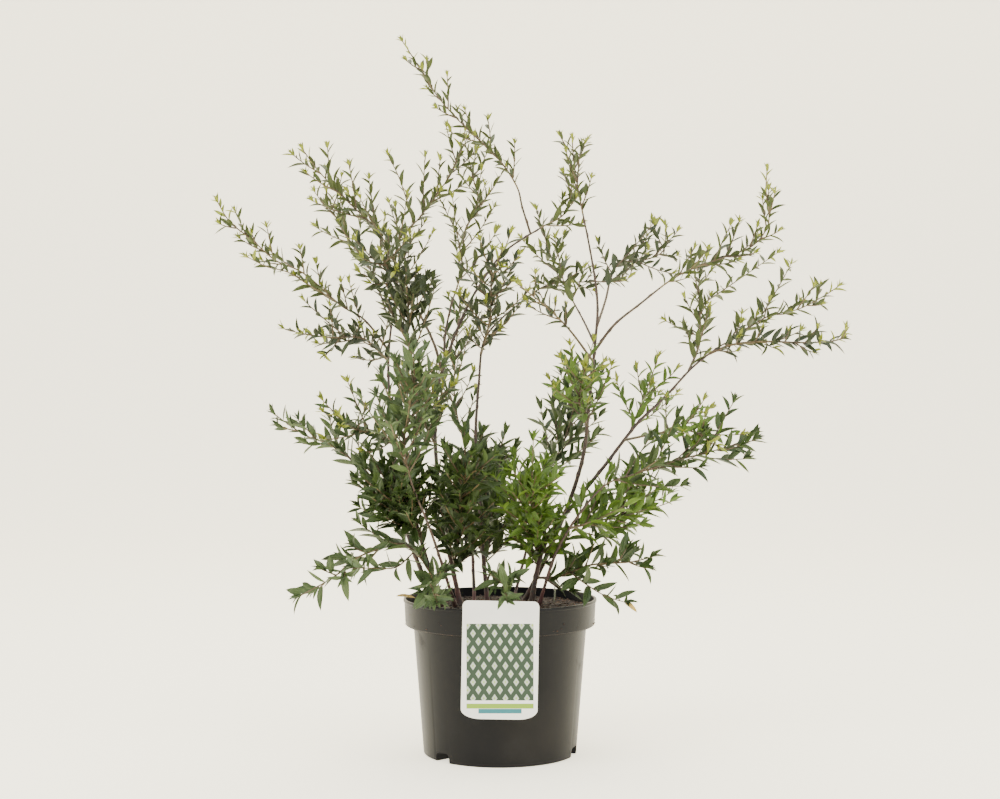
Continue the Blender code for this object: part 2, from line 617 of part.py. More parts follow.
class Mass:
    """Twigs and leaves of one mass, each kept only where it stays in the mass's space and is free."""

    def __init__(self, shoot, seed):
        self.random = random.Random(seed)
        self.shoot = shoot
        self.length = shoot["leaf"] * MM
        self.spacing = shoot["spacing"] * MM
        self.leaves = []
        self.others = []
        self.neighbours = []
        tip = STEM_RADII[1]
        if shoot["wood"]:
            first = shoot["wood"] + GAP / path_length(shoot["path"])
            radii = (min(STEM_RADII[0], shoot["thick"][1] / 2 * MM * 0.95), tip)
            rings = tapered_rings(stretch_of(shoot["path"], first, 1), radii, TWIG_SIDES, TWIG_RING_STEP)
        else:
            rings = seated(shoot["path"], (STEM_RADII[0] * 0.85, tip), TWIG_SIDES, TWIG_RING_STEP,
                           shoot["seat"])
        self.stem = centre_line(rings)
        self.twigs = [(tube_mesh(rings), self.stem)]

    def meshes(self):
        return [mesh for mesh, _ in self.twigs] + [mesh for mesh, _ in self.leaves]

    def at_home(self, place):
        """Whether a place is nearer to this mass's stem than to any other one's."""
        own = way_to(place, self.stem)
        return all(way_to(place, line) > own * HOME_SHARE for line in self.neighbours)

    def is_free(self, mesh):
        tree = tree_of([mesh])
        return not any(tree.overlap(other) for other in self.others)

    def add_twig(self, path):
        """A side twig rooted in the one that it leaves, or None where there is no room for it."""
        rings = tapered_rings(path, SIDE_TWIG_RADII, TWIG_SIDES, TWIG_RING_STEP)
        mesh = tube_mesh(rings)
        middle = sum(path, Vector()) / len(path)
        own = [twig for twig, line in self.twigs if way_to(path[0], line) > 4 * MM]
        if not self.is_free(grown(mesh, middle, 1.03)):
            return None
        if own and tree_of([mesh]).overlap(tree_of(own)):
            return None
        self.twigs.append((mesh, centre_line(rings)))
        return centre_line(rings)

    def add_leaf(self, place, axis, azimuth, lean, roll, length):
        u = across_of(axis)
        out = u * math.cos(azimuth) + axis.cross(u) * math.sin(azimuth)
        direction = axis * math.cos(lean) + out * math.sin(lean)
        face = (axis - direction * axis.dot(direction)).normalized()
        face = face * math.cos(roll) + direction.cross(face) * math.sin(roll)
        if not self.at_home(place + direction * length):
            return
        mesh = blade(place - direction * LEAF_SUNK, direction, face, length)
        if not self.is_free(grown(mesh, place + direction * length / 2, LEAF_CLEARANCE)):
            return
        outer = blade(place + direction * length * LEAF_FREE_FROM, direction, face,
                      length * (1 - LEAF_FREE_FROM))
        near = [leaf for leaf, spot in self.leaves if (spot - place).length < 2 * self.length]
        near += [twig for twig, line in self.twigs]
        if not tree_of([outer]).overlap(tree_of(near)):
            self.leaves.append((mesh, place))

    def leaf_row(self, line, first, scale):
        """Leaves in a spiral along a twig, shorter towards its tip, and a pair at the end."""
        count = max(2, round(path_length(line) * (1 - first) / self.spacing))
        turn = self.random.uniform(0, math.tau)
        for k in range(count):
            share = first + (1 - first) * (k + 0.5) / count
            place, axis = point_at(line, share)
            size = self.length * scale * (1 - 0.3 * share) * self.random.uniform(0.85, 1.12)
            lean = LEAF_LEAN + self.random.uniform(-1, 1) * LEAF_LEAN_SPREAD
            roll = self.random.uniform(-1, 1) * LEAF_ROLL
            turn += GOLDEN_ANGLE + self.random.uniform(-0.3, 0.3)
            self.add_leaf(place, axis, turn, lean, roll, size)
        place, axis = point_at(line, 1)
        for k in range(2):
            self.add_leaf(place - axis * 1.2 * MM, axis, turn + math.pi * k, TIP_LEAF_LEAN, 0,
                          self.length * scale * 0.68)

    def named_twigs(self):
        """Side twigs whose course is given as it looks from the front."""
        for share, points, depth in self.shoot.get("sides", []):
            start, _ = point_at(self.stem, share)
            first = start.y / MM
            knots = [front_view(x, z, first + (depth - first) * (k + 1) / len(points))
                     for k, (x, z) in enumerate(points)]
            line = self.add_twig(smooth_path([start, *knots]))
            if line:
                self.leaf_row(line, 0.12, 0.95)

    def ruled_twigs(self):
        """Side twigs at even shares of the stem, a golden angle round it from one to the next."""
        count = self.shoot.get("twigs", 0)
        turn = self.random.uniform(0, 1)
        for k in range(count):
            share = TWIG_SHARES[0] + (TWIG_SHARES[1] - TWIG_SHARES[0]) * (k + 0.5) / count
            place, axis = point_at(self.stem, share)
            u = across_of(axis)
            length = TWIG_LENGTH * self.random.uniform(0.85, 1.15)
            for _ in range(TWIG_TRIES):
                turn += GOLDEN_ANGLE
                out = u * math.cos(turn) + axis.cross(u) * math.sin(turn)
                direction = axis * math.cos(TWIG_LEAN) + out * math.sin(TWIG_LEAN)
                path = [place + direction * length * t + axis * length * 0.25 * t * t
                        for t in (0, 0.25, 0.5, 0.75, 1)]
                line = self.add_twig(path) if self.at_home(path[-1]) else None
                if line:
                    self.leaf_row(line, 0.2, 0.95)
                    break

    def grow(self, others, neighbours):
        self.others = others
        self.neighbours = neighbours
        self.named_twigs()
        self.ruled_twigs()
        self.leaf_row(self.stem, self.shoot.get("bare", 0.04 if self.shoot["wood"] else 0.1), 1)

    def build(self):
        """One closed solid of the mass."""
        name = "mass_" + self.shoot["name"]
        things = [new_object(name, vertices, faces, LEAF_COLOUR, LEAF_ROUGHNESS)
                  for vertices, faces in self.meshes()]
        apply_boolean(things[0], things[1:], "UNION", "MANIFOLD")


def main():
    for thing in list(bpy.data.objects):
        bpy.data.objects.remove(thing)
    fixed = [build_pot(), build_soil(), build_label()]
    made = {}
    for shoot in SHOOTS:
        if shoot["limb"] and shoot["limb"].startswith("bough_"):
            made["bough_" + shoot["name"]] = shoot
        lay_out(shoot, made)
    limbs = [build_limb(shoot) for shoot in SHOOTS if shoot["limb"]]
    fixed_trees = [tree_of([mesh_data(thing)]) for thing in fixed + limbs]
    masses = [Mass(shoot, seed) for seed, shoot in enumerate(SHOOTS)]
    for mass in masses:
        others = [other for other in masses if other is not mass]
        trees = [tree_of(other.meshes()) for other in others]
        mass.grow(fixed_trees + trees, [other.stem for other in others])
    for mass in masses:
        mass.build()


main()
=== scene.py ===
import json
import math
import random

import bpy
from mathutils import Matrix, Vector

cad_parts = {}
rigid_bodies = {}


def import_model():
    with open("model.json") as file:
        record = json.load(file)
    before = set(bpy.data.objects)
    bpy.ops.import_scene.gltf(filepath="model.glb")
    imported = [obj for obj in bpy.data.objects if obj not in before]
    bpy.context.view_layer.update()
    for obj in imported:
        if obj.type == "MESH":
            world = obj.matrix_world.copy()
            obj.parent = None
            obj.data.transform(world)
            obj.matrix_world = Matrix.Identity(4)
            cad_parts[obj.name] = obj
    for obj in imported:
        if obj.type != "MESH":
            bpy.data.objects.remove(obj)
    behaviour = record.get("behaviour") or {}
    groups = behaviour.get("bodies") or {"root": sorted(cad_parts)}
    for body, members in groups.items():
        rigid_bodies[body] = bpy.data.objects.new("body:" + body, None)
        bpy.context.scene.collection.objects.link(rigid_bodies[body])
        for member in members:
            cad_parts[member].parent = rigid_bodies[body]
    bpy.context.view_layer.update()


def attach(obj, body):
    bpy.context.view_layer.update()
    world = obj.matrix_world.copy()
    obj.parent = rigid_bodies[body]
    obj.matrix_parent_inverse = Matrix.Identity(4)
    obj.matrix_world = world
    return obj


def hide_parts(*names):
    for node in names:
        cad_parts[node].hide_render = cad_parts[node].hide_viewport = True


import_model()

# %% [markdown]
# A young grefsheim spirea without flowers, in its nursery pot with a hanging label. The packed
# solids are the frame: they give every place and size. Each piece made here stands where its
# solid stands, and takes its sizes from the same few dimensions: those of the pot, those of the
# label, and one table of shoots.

MM = 0.001

# %% [markdown]
# The camera stands level, 1.6 m in front of the pot, about halfway up the plant. A level camera
# keeps upright things upright, and its distance decides how much larger the near twigs look than
# the far ones. The lens then sets how much of the picture the plant fills.

# %% Camera
VIEW_DISTANCE = 1600
EYE_HEIGHT = 346
LENS = 58.5
FILM_WIDTH = 36

camera = bpy.data.objects.new("camera", bpy.data.cameras.new("camera"))
bpy.context.scene.collection.objects.link(camera)
camera.location = (0, -VIEW_DISTANCE * MM, EYE_HEIGHT * MM)
camera.rotation_euler = (math.radians(90), 0, 0)
camera.data.lens = LENS
camera.data.sensor_width = FILM_WIDTH
bpy.context.scene.camera = camera
print("camera", VIEW_DISTANCE, "mm away, lens", LENS, "mm")

# %% [markdown]
# A studio backdrop is one sheet that runs along the floor and bends up into a wall, so that no
# edge shows behind the plant. It could be two planes, but a quarter circle between them hides the
# corner. It gives off light of its own, as paper does that is lit from behind.

# %% Floor and backdrop
BEND_RADIUS = 1.5
BEND_STEPS = 16
WALL_AT = 3.5
WALL_HEIGHT = 7.0
FLOOR_FRONT = -9.0
HALF_WIDTH = 9


def plain_object(name, vertices, faces):
    """A mesh object at the origin, with its place in its mesh."""
    mesh = bpy.data.meshes.new(name)
    mesh.from_pydata([tuple(v) for v in vertices], [], faces)
    mesh.update()
    thing = bpy.data.objects.new(name, mesh)
    bpy.context.scene.collection.objects.link(thing)
    return thing


def backdrop_mesh():
    foot = WALL_AT - BEND_RADIUS
    profile = [(FLOOR_FRONT, 0.0), (foot, 0.0)]
    for k in range(1, BEND_STEPS + 1):
        a = math.pi / 2 * k / BEND_STEPS
        profile.append((foot + BEND_RADIUS * math.sin(a), BEND_RADIUS - BEND_RADIUS * math.cos(a)))
    profile.append((WALL_AT, WALL_HEIGHT))
    vertices = [(x, y, z) for y, z in profile for x in (-HALF_WIDTH, HALF_WIDTH)]
    faces = [(2 * k, 2 * k + 1, 2 * k + 3, 2 * k + 2) for k in range(len(profile) - 1)]
    return plain_object("backdrop", vertices, faces)


backdrop = backdrop_mesh()
backdrop.data.shade_smooth()
print("backdrop:", len(backdrop.data.polygons), "faces")

# %% [markdown]
# Large lamps close to a subject give soft shadows. One stands at the left, a weaker one at the
# right and one hangs above, and the pale sky of the world fills what they leave dark.

# %% Soft light
AIM = Vector((0, 0, 0.35))
PANELS = {
    "panel_left": ((-1.9, -1.7, 1.7), AIM, (1.6, 1.6), 66),
    "panel_right": ((1.9, -1.4, 1.3), AIM, (1.2, 1.4), 36),
    "panel_top": ((0, 0.3, 2.4), Vector((0, 0, 0.3)), (2.2, 2.2), 60),
}
SKY = (1.0, 0.985, 0.95, 1)


def soft_panel(name, place, aim, size, watts):
    """A large area light that looks at a point."""
    lamp = bpy.data.lights.new(name, "AREA")
    lamp.shape = "RECTANGLE"
    lamp.size, lamp.size_y = size
    lamp.energy = watts
    thing = bpy.data.objects.new(name, lamp)
    thing.location = place
    thing.rotation_euler = (aim - Vector(place)).to_track_quat("-Z", "Y").to_euler()
    bpy.context.scene.collection.objects.link(thing)


for name, settings in PANELS.items():
    soft_panel(name, *settings)
world = bpy.data.worlds.new("studio")
bpy.context.scene.world = world
world.use_nodes = True
world.node_tree.nodes["Background"].inputs["Color"].default_value = SKY
world.node_tree.nodes["Background"].inputs["Strength"].default_value = 1.0
print("lamps:", len(PANELS))

# %% [markdown]
# A node tree is easier to read as a sum than as a list of nodes. A Value wraps one socket, and
# its operators add Math nodes. A Net is a tree with two short calls: one adds a node with its
# settings and inputs, the other sets or links one input.

# %% Values and nets
class Value:
    """A socket of a node tree that can be counted with."""

    def __init__(self, net, socket):
        self.net = net
        self.socket = socket

    def __add__(self, other):
        return self.net.math("ADD", self, other)

    def __radd__(self, other):
        return self.net.math("ADD", other, self)

    def __sub__(self, other):
        return self.net.math("SUBTRACT", self, other)

    def __rsub__(self, other):
        return self.net.math("SUBTRACT", other, self)

    def __mul__(self, other):
        return self.net.math("MULTIPLY", self, other)

    def __rmul__(self, other):
        return self.net.math("MULTIPLY", other, self)

    def __truediv__(self, other):
        return self.net.math("DIVIDE", self, other)

    def __rtruediv__(self, other):
        return self.net.math("DIVIDE", other, self)


class Net:
    """A node tree with short calls for adding nodes and setting their inputs."""

    def __init__(self, tree):
        self.tree = tree

    def node(self, kind, settings=None, **inputs):
        """A node with its settings. Its inputs go by name, or by number as i0, i1 and so on."""
        made = self.tree.nodes.new(kind)
        for key, value in (settings or {}).items():
            setattr(made, key, value)
        for key, value in inputs.items():
            self.put(value, made.inputs[int(key[1:]) if key[1:].isdigit() else key])
        return made

    def put(self, value, socket):
        """Links a value to a socket, or sets the socket to a number or colour."""
        if isinstance(value, Value):
            self.tree.links.new(value.socket, socket)
        elif socket.type == "RGBA" and len(value) == 3:
            socket.default_value = (*value, 1)
        else:
            socket.default_value = value

    def out(self, made, label=0):
        return Value(self, made.outputs[label])

    def math(self, operation, a, b=0.0):
        return self.out(self.node("ShaderNodeMath", {"operation": operation}, i0=a, i1=b))


print("a Value turns + - * and / into Math nodes")

# %% [markdown]
# A Paint is a net for a material. What is the same all over the surface is set on the shader's
# own sockets, and only colour, roughness and relief are fed by nodes, which keeps them bakeable.

# %% Paint
class Paint(Net):
    """One material: a Principled shader and short calls for the nodes that feed it."""

    def __init__(self, name, **settings):
        self.material = bpy.data.materials.new(name)
        self.material.use_nodes = True
        super().__init__(self.material.node_tree)
        self.shader = self.tree.nodes["Principled BSDF"]
        for socket, value in settings.items():
            self.put(value, self.shader.inputs[socket.replace("_", " ")])

    def step(self, value, low, high):
        """0 at low, 1 at high, and a smooth rise between them. low may be the larger one."""
        made = self.node("ShaderNodeMapRange", {"interpolation_type": "SMOOTHSTEP"},
                         Value=value, **{"From Min": low, "From Max": high})
        return self.out(made, "Result")

    def band(self, value, low, high, soft=0.15):
        """1 between low and high, 0 elsewhere."""
        return self.step(value, low - soft, low + soft) * self.step(value, high + soft, high - soft)

    def place(self):
        return self.out(self.node("ShaderNodeTexCoord"), "Object")

    def attribute(self, name, output="Vector"):
        return self.out(self.node("ShaderNodeAttribute", {"attribute_name": name}), output)

    def parts(self, vector):
        made = self.node("ShaderNodeSeparateXYZ", Vector=vector)
        return [self.out(made, k) for k in range(3)]

    def noise(self, where, scale, detail=2.0, rough=0.5):
        made = self.node("ShaderNodeTexNoise", Vector=where, Scale=scale, Detail=detail, Roughness=rough)
        return self.out(made, "Fac")

    def mix(self, share, a, b):
        """The colour a, turning into b as share goes from 0 to 1."""
        made = self.node("ShaderNodeMix", {"data_type": "RGBA"}, i0=share, i6=a, i7=b)
        return self.out(made, 2)

    def colour(self, value):
        self.put(value, self.shader.inputs["Base Color"])

    def rough(self, value):
        self.put(value, self.shader.inputs["Roughness"])

    def bump(self, height, depth):
        """Relief of a depth in metres."""
        made = self.node("ShaderNodeBump", Height=height, Strength=1.0, Distance=depth)
        self.put(self.out(made, "Normal"), self.shader.inputs["Normal"])


CREAM = (0.95, 0.895, 0.72)
paper = Paint("backdrop", Roughness=0.9, Base_Color=CREAM, Emission_Color=CREAM, Emission_Strength=1.5)
backdrop.data.materials.append(paper.material)
print("backdrop paint:", len(paper.tree.nodes), "nodes")

# %% [markdown]
# A Recipe is a net for Geometry Nodes, with named inputs. It is run once on a mesh, and the mesh
# that it makes is kept without the modifier, because other programs know nothing of modifiers.

# %% Recipe
def keep_result(thing):
    """Takes what the modifiers make as the thing's own mesh, and removes them."""
    evaluated = thing.evaluated_get(bpy.context.evaluated_depsgraph_get())
    mesh = bpy.data.meshes.new_from_object(evaluated)
    thing.modifiers.clear()
    thing.data = mesh


class Recipe(Net):
    """A Geometry Nodes group with named inputs, run once on a mesh."""

    def __init__(self, name, **inputs):
        super().__init__(bpy.data.node_groups.new(name, "GeometryNodeTree"))
        sockets = self.tree.interface
        sockets.new_socket("Geometry", in_out="INPUT", socket_type="NodeSocketGeometry")
        for label, kind in inputs.items():
            sockets.new_socket(label, in_out="INPUT", socket_type="NodeSocket" + kind)
        sockets.new_socket("Geometry", in_out="OUTPUT", socket_type="NodeSocketGeometry")
        self.source = self.node("NodeGroupInput")

    def given(self, label="Geometry"):
        return self.out(self.source, label)

    def attribute(self, name, kind="FLOAT_VECTOR"):
        return self.out(self.node("GeometryNodeInputNamedAttribute", {"data_type": kind}, Name=name))

    def scaled(self, vector, factor):
        made = self.node("ShaderNodeVectorMath", {"operation": "SCALE"}, Vector=vector, Scale=factor)
        return self.out(made)

    def end_with(self, spread, smooth=False):
        """Makes the instances real, gives them the material and ends the group."""
        shape = self.out(self.node("GeometryNodeRealizeInstances", Geometry=self.out(spread)))
        if smooth:
            shape = self.out(self.node("GeometryNodeSetShadeSmooth", Geometry=shape))
        final = self.node("GeometryNodeSetMaterial", Geometry=shape, Material=self.given("Material"))
        self.node("NodeGroupOutput", i0=self.out(final))

    def run(self, thing, **values):
        """Runs the recipe on a thing with its inputs set, and keeps the mesh it makes."""
        modifier = thing.modifiers.new(self.tree.name, "NODES")
        modifier.node_group = self.tree
        for item in self.tree.interface.items_tree:
            if item.in_out == "INPUT" and item.name in values:
                modifier[item.identifier] = values[item.name]
        keep_result(thing)


print("recipes ready, node groups so far:", len(bpy.data.node_groups))

# %% [markdown]
# Much of a plant and its pot is a row of rings: a turned wall, a bar, a stem. One helper closes
# such a row into one mesh, whose faces point outwards when each ring runs counter-clockwise.

# %% Closed tubes
def closed_tube(rings):
    """Vertices and faces of a tube through rings of equal count, closed at both ends."""
    count = len(rings[0])
    vertices = [point for ring in rings for point in ring]
    faces = []
    for low in range(0, len(vertices) - count, count):
        high = low + count
        for k in range(count):
            j = (k + 1) % count
            faces.append((low + k, low + j, high + j, high + k))
    faces.append(tuple(reversed(range(count))))
    faces.append(tuple(range(len(vertices) - count, len(vertices))))
    return vertices, faces


def prism(name, outline, ends, side=Vector((1, 0, 0)), out=Vector((0, -1, 0))):
    """An outline of (across, height) points, carried along a direction between two ends."""
    rings = [[out * way + side * s + Vector((0, 0, h)) for s, h in outline] for way in ends]
    return plain_object(name, *closed_tube(rings))


def combine(thing, other, operation):
    """Joins another thing to this one, or cuts it away."""
    modifier = thing.modifiers.new("combine", "BOOLEAN")
    modifier.object = other
    modifier.operation = operation
    modifier.solver = "EXACT"
    keep_result(thing)
    bpy.data.objects.remove(other)


print("a tube through two triangles has", len(closed_tube([[(0, 0, 0)] * 3] * 2)[1]), "faces")

# %% [markdown]
# The real pot is one thin shell of moulded plastic, with a collar, a lip and rounded edges. It
# could be cylinders with Bevel modifiers, but one turned profile gives wall, floor and roundings
# at once, and each radius is a named size.

# %% Pot wall
POT_HEIGHT = 151 * MM
LIP_RADIUS = 95 * MM
LIP_HEIGHT = 2.6 * MM
LIP_DROP = 0.5 * MM
COLLAR_RADIUS = 94.1 * MM
COLLAR_HEIGHT = 25.5 * MM
COLLAR_FOOT_RADIUS = 93 * MM
SHOULDER_DROP = 1 * MM
BODY_TOP_RADIUS = 85 * MM
BASE_RADIUS = 75 * MM
BASE_EDGE = 12 * MM
POT_WALL = 1.5 * MM
POT_FLOOR = 1.8 * MM
TURN_STEPS = 144
ROUNDING_STEPS = 3


def rounded(corner, before, after, radius):
    """Points of a small arc in place of a profile's corner."""
    corner, before, after = Vector(corner), Vector(before), Vector(after)
    start = corner + (before - corner).normalized() * radius
    end = corner + (after - corner).normalized() * radius
    return [tuple((1 - t) ** 2 * start + 2 * t * (1 - t) * corner + t * t * end)
            for t in (k / ROUNDING_STEPS for k in range(ROUNDING_STEPS + 1))]


def pot_profile():
    """(radius, height) points, up the outside of the pot and down the inside."""
    collar_foot = POT_HEIGHT - COLLAR_HEIGHT
    shoulder = collar_foot - SHOULDER_DROP
    lip_foot = POT_HEIGHT - LIP_HEIGHT
    start = (BASE_RADIUS - BASE_EDGE, 0)
    end = (BASE_RADIUS - BASE_EDGE, POT_FLOOR)
    corners = [
        ((BASE_RADIUS, 0), 1.2),
        ((BODY_TOP_RADIUS, shoulder), 1.0),
        ((COLLAR_FOOT_RADIUS, collar_foot), 1.0),
        ((COLLAR_RADIUS, lip_foot - LIP_DROP), 0.3),
        ((LIP_RADIUS, lip_foot), 0.5),
        ((LIP_RADIUS, POT_HEIGHT), 0.7),
        ((COLLAR_RADIUS - POT_WALL, POT_HEIGHT), 0.5),
        ((COLLAR_FOOT_RADIUS - POT_WALL, collar_foot + POT_WALL), 0.6),
        ((BODY_TOP_RADIUS - POT_WALL, shoulder + POT_WALL), 0.6),
        ((BASE_RADIUS - POT_WALL, POT_FLOOR), 1.0),
    ]
    places = [start, *(place for place, _ in corners), end]
    profile = [start]
    for k, (corner, rounding) in enumerate(corners):
        profile += rounded(corner, places[k], places[k + 2], rounding * MM)
    return [*profile, end]


def turned(name, profile):
    """A surface turned about Z from (radius, height) points."""
    angles = [math.tau * k / TURN_STEPS for k in range(TURN_STEPS)]
    rings = [[(radius * math.cos(a), radius * math.sin(a), height) for a in angles]
             for radius, height in profile]
    return plain_object(name, *closed_tube(rings))


pot = turned("nursery_pot", pot_profile())
print("pot wall:", len(pot.data.polygons), "faces")

# %% [markdown]
# Channels run in under the pot, so that water leaves it also on flat ground. A Boolean joins a
# bar with an arched top to the pot, which gives the channel its roof, and another Boolean cuts a
# smaller bar away, which opens it. Cut shapes keep the crisp edge of a mould.

# %% Drainage channels
CHANNEL_ANGLES = (-47, 73, 193)
CHANNEL_WIDTH = 18.5 * MM
CHANNEL_HEIGHT = 9 * MM
CHANNEL_BEND = 4 * MM
CHANNEL_INNER_END = 46 * MM
BEND_POINTS = 5
CUT_BELOW = 3 * MM
CUT_BEYOND = 5 * MM
SHARP_ABOVE = math.radians(35)


def channel_bar(degrees, grow):
    """A bar with an arched top that runs in under the pot, larger all round by grow."""
    turn = math.radians(degrees)
    half, top, bend = CHANNEL_WIDTH / 2 + grow, CHANNEL_HEIGHT + grow, CHANNEL_BEND + grow
    foot = POT_FLOOR / 2 if grow else -CUT_BELOW
    outline = [(-half, foot), (half, foot), (half, top - bend)]
    for k in range(1, BEND_POINTS + 1):
        a = math.pi / 2 * k / BEND_POINTS
        outline.append((half - bend + bend * math.cos(a), top - bend + bend * math.sin(a)))
    outline += [(-s, h) for s, h in reversed(outline[2:])]
    outer_end = BASE_RADIUS - POT_WALL / 3 if grow else BASE_RADIUS + CUT_BEYOND
    side = Vector((math.cos(turn), math.sin(turn), 0))
    out = Vector((math.sin(turn), -math.cos(turn), 0))
    return prism("channel_bar", outline, (CHANNEL_INNER_END - grow, outer_end), side, out)


for degrees in CHANNEL_ANGLES:
    combine(pot, channel_bar(degrees, POT_WALL), "UNION")
for degrees in CHANNEL_ANGLES:
    combine(pot, channel_bar(degrees, 0), "DIFFERENCE")
pot.data.shade_smooth()
pot.data.set_sharp_from_angle(angle=SHARP_ABOVE)
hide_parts("pot")
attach(pot, "root")
print("pot with channels:", len(pot.data.polygons), "faces")

# %% [markdown]
# Black nursery plastic is nearly black and half matt, with fine grain, paler scuffs and some dry
# dust low on the wall. A photograph of the plastic could be wrapped round it, but noise on the
# object's own coordinates has no seam and stays sharp at any distance.

# %% Pot plastic
PLASTIC = (0.0042, 0.0044, 0.0056)
SCUFFED = (0.012, 0.0125, 0.0145)
DUSTY = (0.035, 0.031, 0.026)

plastic = Paint("pot_plastic", Specular_IOR_Level=0.14)
where = plastic.place()
height = plastic.parts(where)[2]
scuff = plastic.step(plastic.noise(where, 38.0, 6.0, 0.65), 0.56, 0.72)
dust = plastic.step(plastic.noise(where, 9.0, 3.0), 0.45, 0.8) * plastic.step(height, 0.16, 0.02)
shade = plastic.mix(scuff * 0.35, PLASTIC, SCUFFED)
plastic.colour(plastic.mix(dust * 0.3, shade, DUSTY))
plastic.rough(0.36 + scuff * 0.16 + dust * 0.1)
plastic.bump(plastic.noise(where, 900.0) * 0.6 + plastic.noise(where, 60.0), 0.00012)
pot.data.materials.clear()
pot.data.materials.append(plastic.material)
print("pot plastic:", len(plastic.tree.nodes), "nodes")

# %% [markdown]
# Compost fills the pot up to a little below the lip. Its crumbs are too many to model, so a fine
# disc of rings carries the larger lumps as a sum of many small waves, and sinks towards the wall
# as watered compost does. A Displace modifier could do the same with less control over the edge.

# %% Compost
SOIL_OVERLAP = 0.2 * MM
SOIL_RADIUS = COLLAR_FOOT_RADIUS - POT_WALL + SOIL_OVERLAP
SOIL_TOP = 143 * MM
SOIL_LEVEL = SOIL_TOP + 1 * MM
SOIL_FOOT = SOIL_TOP - 18 * MM
SOIL_RINGS = 64
SOIL_WAVES = 60
SOIL_SEED = 5
LUMP_HEIGHT = 0.32 * MM
EDGE_SINK = 2.5 * MM
WAVE_SPAN = 60
WAVE_FADE = 26


def soil_waves():
    """(height, x and y frequency, start) of waves of every direction, the finer ones lower."""
    rng = random.Random(SOIL_SEED)
    waves = []
    for _ in range(SOIL_WAVES):
        turns, a = rng.uniform(4, 60), rng.uniform(0, math.tau)
        size = rng.uniform(0.1, 1.0) * WAVE_FADE / (WAVE_FADE + turns)
        pitch = turns / MM / WAVE_SPAN
        waves.append((size, pitch * math.cos(a), pitch * math.sin(a), rng.uniform(0, math.tau)))
    return waves


def compost_mesh():
    """A disc of rings round one middle point, with a skirt down from its edge and a flat foot."""
    waves = soil_waves()
    vertices = [(0, 0, SOIL_LEVEL)]
    for ring in range(1, SOIL_RINGS + 1):
        radius = SOIL_RADIUS * ring / SOIL_RINGS
        for k in range(TURN_STEPS):
            a = math.tau * k / TURN_STEPS
            x, y = radius * math.cos(a), radius * math.sin(a)
            lumps = sum(size * math.sin(x * fx + y * fy + start) for size, fx, fy, start in waves)
            rise = lumps * LUMP_HEIGHT - EDGE_SINK * (ring / SOIL_RINGS) ** 4
            vertices.append((x, y, SOIL_LEVEL + rise))
    vertices += [(x, y, SOIL_FOOT) for x, y, _ in vertices[-TURN_STEPS:]]
    foot = len(vertices) - TURN_STEPS
    faces = [(0, 1 + k, 1 + (k + 1) % TURN_STEPS) for k in range(TURN_STEPS)]
    for low in range(1, foot, TURN_STEPS):
        high = low + TURN_STEPS
        for k in range(TURN_STEPS):
            j = (k + 1) % TURN_STEPS
            faces.append((low + k, high + k, high + j, low + j))
    faces.append(tuple(reversed(range(foot, foot + TURN_STEPS))))
    return plain_object("compost", vertices, faces)


compost = compost_mesh()
compost.data.shade_smooth()
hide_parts("soil")
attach(compost, "root")
print("compost:", len(compost.data.polygons), "faces")

# %% [markdown]
# Moist compost is dark brown with lighter crumbs, and quite matt. Fine noise gives the crumbs
# their colour, and the same noise with a coarser one gives a relief too small for the mesh.

# %% Earth
earth = Paint("compost", Roughness=0.95)
where = earth.place()
crumb = earth.noise(where, 260.0, 5.0, 0.7)
clod = earth.noise(where, 60.0, 3.0)
earth.colour(earth.mix(earth.step(crumb, 0.42, 0.7), (0.012, 0.008, 0.006), (0.075, 0.045, 0.03)))
earth.bump(crumb + clod * 0.6, 0.0016)
compost.data.materials.append(earth.material)
print("earth:", len(earth.tree.nodes), "nodes")

# %% [markdown]
# More than a thousand chips of bark lie on the compost, no two alike. Geometry Nodes strew
# points over a copy of the compost where it faces up, and put one small ball on each, flattened,
# stretched and turned at random from a fixed seed. By hand this would take a day.

# %% Bark chips on the compost
CHIPS_PER_SQUARE_METRE = 42000.0
CHIP_SIZE = 2.4 * MM
CHIP_SMALLEST = (0.35, 0.2, 0.12)
CHIP_LARGEST = (1.6, 0.75, 0.35)
CHIP_TILT = (0.5, 0.5, 6.28)
FACES_UP = 0.5


def chip_recipe():
    """Chips of bark strewn over a surface where it faces up."""
    made = Recipe("bark_chips", Density="Float", Chip_size="Float", Seed="Int", Material="Material")
    normal = made.out(made.node("GeometryNodeInputNormal"))
    upward = made.out(made.node("ShaderNodeSeparateXYZ", Vector=normal), "Z")
    facing = made.node("FunctionNodeCompare", {"data_type": "FLOAT", "operation": "GREATER_THAN"},
                       i0=upward, i1=FACES_UP)
    points = made.node("GeometryNodeDistributePointsOnFaces", Mesh=made.given(),
                       Density=made.given("Density"), Seed=made.given("Seed"),
                       Selection=made.out(facing))
    chip = made.node("GeometryNodeMeshIcoSphere", Subdivisions=1)
    turn = made.node("FunctionNodeRandomValue", {"data_type": "FLOAT_VECTOR"}, i1=CHIP_TILT)
    size = made.node("FunctionNodeRandomValue", {"data_type": "FLOAT_VECTOR"},
                     i0=CHIP_SMALLEST, i1=CHIP_LARGEST)
    spread = made.node("GeometryNodeInstanceOnPoints", Points=made.out(points),
                       Instance=made.out(chip), Rotation=made.out(turn),
                       Scale=made.scaled(made.out(size), made.given("Chip_size")))
    made.end_with(spread)
    return made


chip_paint = Paint("bark_chips", Roughness=0.9)
where = chip_paint.place()
pale = chip_paint.step(chip_paint.noise(where, 180.0, 1.0), 0.45, 0.7)
chip_paint.colour(chip_paint.mix(pale, (0.02, 0.012, 0.008), (0.13, 0.07, 0.04)))
chip_paint.bump(chip_paint.noise(where, 900.0, 3.0), 0.0004)

